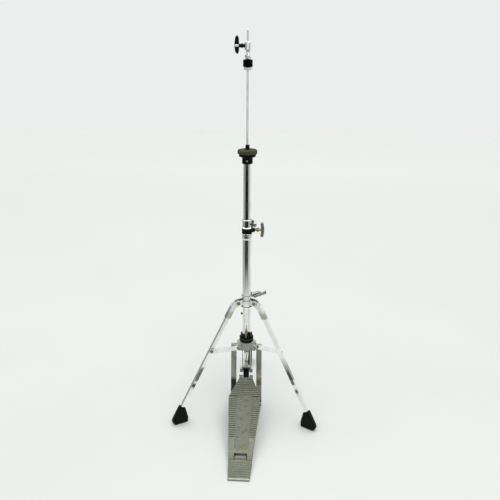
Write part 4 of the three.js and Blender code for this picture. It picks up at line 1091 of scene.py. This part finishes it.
def add_floor():
    reach = 6
    corners = [(-reach, -reach, 0), (reach, -reach, 0), (reach, reach, 0), (-reach, reach, 0)]
    floor = mesh_piece("floor", corners, [(0, 1, 2, 3)])
    floor.data.materials.append(floor_material())
    floor.visible_glossy = False


def floor_material():
    t = Tree("floor")
    shade_of = t.spread(t.noise(1.5, 3), 0.3, 0.7, 0.0, 1.0)
    color = t.mix(shade_of, (0.462, 0.464, 0.458, 1), (0.48, 0.482, 0.476, 1))
    # painted light: the floor is painted lighter towards the back, where it meets the backdrop
    color = t.mix(t.spread(t.part("Y"), 0.2, 3.5), color, (0.56, 0.562, 0.556, 1))
    return t.set(Base_Color=color, Roughness=0.85, Specular_IOR_Level=0.1)


def add_world():
    """A pale room whose mirror image in the chrome has a dark, low part in front of the stand."""
    world = bpy.data.worlds.new("studio")
    bpy.context.scene.world = world
    world.use_nodes = True
    tree = world.node_tree
    made, links = tree.nodes, tree.links

    def math_node(operation, *values):
        node = made.new("ShaderNodeMath")
        node.operation = operation
        for socket, value in zip(node.inputs, values):
            if isinstance(value, bpy.types.NodeSocket):
                links.new(value, socket)
            else:
                socket.default_value = value
        return node.outputs[0]

    def band(value, low, high, blur):
        """1 between low and high, 0 outside, with blurred ends."""
        rise = made.new("ShaderNodeMapRange")
        fall = made.new("ShaderNodeMapRange")
        for node, start, end in ((rise, low - blur, low + blur), (fall, high + blur, high - blur)):
            node.interpolation_type = "SMOOTHSTEP"
            links.new(value, node.inputs["Value"])
            node.inputs["From Min"].default_value = start
            node.inputs["From Max"].default_value = end
        return math_node("MULTIPLY", rise.outputs[0], fall.outputs[0])

    way = made.new("ShaderNodeSeparateXYZ")
    links.new(made.new("ShaderNodeTexCoord").outputs["Generated"], way.inputs[0])
    azimuth = math_node("ARCTAN2", way.outputs["X"], math_node("MULTIPLY", way.outputs["Y"], -1.0))
    elevation = math_node("ARCSINE", way.outputs["Z"])
    rad = math.radians
    walls = (-26, 25, 6)

    def patch(across, upwards):
        """A patch of the room, by its low and high ends and its blur in degrees, both ways."""
        return math_node("MULTIPLY", band(azimuth, *map(rad, across)), band(elevation, *map(rad, upwards)))

    dark = patch((-48, 34, 7), (-24.5, -9, 2.5))
    dim_left = patch((-125, -30, 14), walls)
    dim_right = patch((25, 80, 14), walls)
    lamp = band(elevation, rad(52), rad(100), rad(8))
    level = math_node("ADD", 0.95, math_node("MULTIPLY", lamp, 1.6))
    level = math_node("MULTIPLY", level, math_node("SUBTRACT", 1.0, math_node("MULTIPLY", dim_left, 0.62)))
    level = math_node("MULTIPLY", level, math_node("SUBTRACT", 1.0, math_node("MULTIPLY", dim_right, 0.45)))
    level = math_node("MULTIPLY", level, math_node("SUBTRACT", 1.0, math_node("MULTIPLY", dark, 0.985)))

    room, backdrop = made["Background"], made.new("ShaderNodeBackground")
    room.inputs["Color"].default_value = (0.97, 1.0, 0.98, 1)
    links.new(level, room.inputs["Strength"])
    backdrop.inputs["Color"].default_value = BACKDROP
    backdrop.inputs["Strength"].default_value = BACKDROP_STRENGTH
    choice = made.new("ShaderNodeMixShader")
    links.new(made.new("ShaderNodeLightPath").outputs["Is Camera Ray"], choice.inputs[0])
    links.new(room.outputs[0], choice.inputs[1])
    links.new(backdrop.outputs[0], choice.inputs[2])
    links.new(choice.outputs[0], made["World Output"].inputs[0])


def add_softbox(name, place, size, power):
    data = bpy.data.lights.new(name, "AREA")
    data.shape = "RECTANGLE"
    data.size, data.size_y = size
    data.energy = power
    lamp = link(name, data)
    lamp.location = Vector(place)
    lamp.rotation_euler = (Vector((0, 0, 0.4)) - lamp.location).to_track_quat("-Z", "Y").to_euler()


def add_camera():
    data = bpy.data.cameras.new("camera")
    data.lens = CAMERA_LENS
    data.sensor_width = 36
    data.clip_start = 0.01
    camera = link("camera", data)
    heading = math.degrees(math.atan2(-CAMERA_HEADING.x, CAMERA_HEADING.y))
    aimed = turn(heading, "Z") @ turn(90 - CAMERA_PITCH, "X") @ turn(CAMERA_ROLL, "Z")
    place = to(CAMERA_PLACE + tube_foot) @ aimed
    camera.location = place.to_translation()
    camera.rotation_euler = place.to_euler()
    bpy.context.scene.camera = camera
    bpy.context.scene.view_settings.view_transform = "Standard"


add_tubes()
add_seat()
add_clutch()
add_clamp()
add_collar_bolt()
add_base()
add_footboard()
add_heel()
add_linkage()
add_feet()
finish_cad_nodes()
add_floor()
add_world()
add_softbox("key_light", (0.9, -0.6, 2.6), (1.6, 1.6), 22)
add_softbox("fill_light", (-1.5, 0.3, 2.2), (1.4, 1.4), 10)
add_camera()
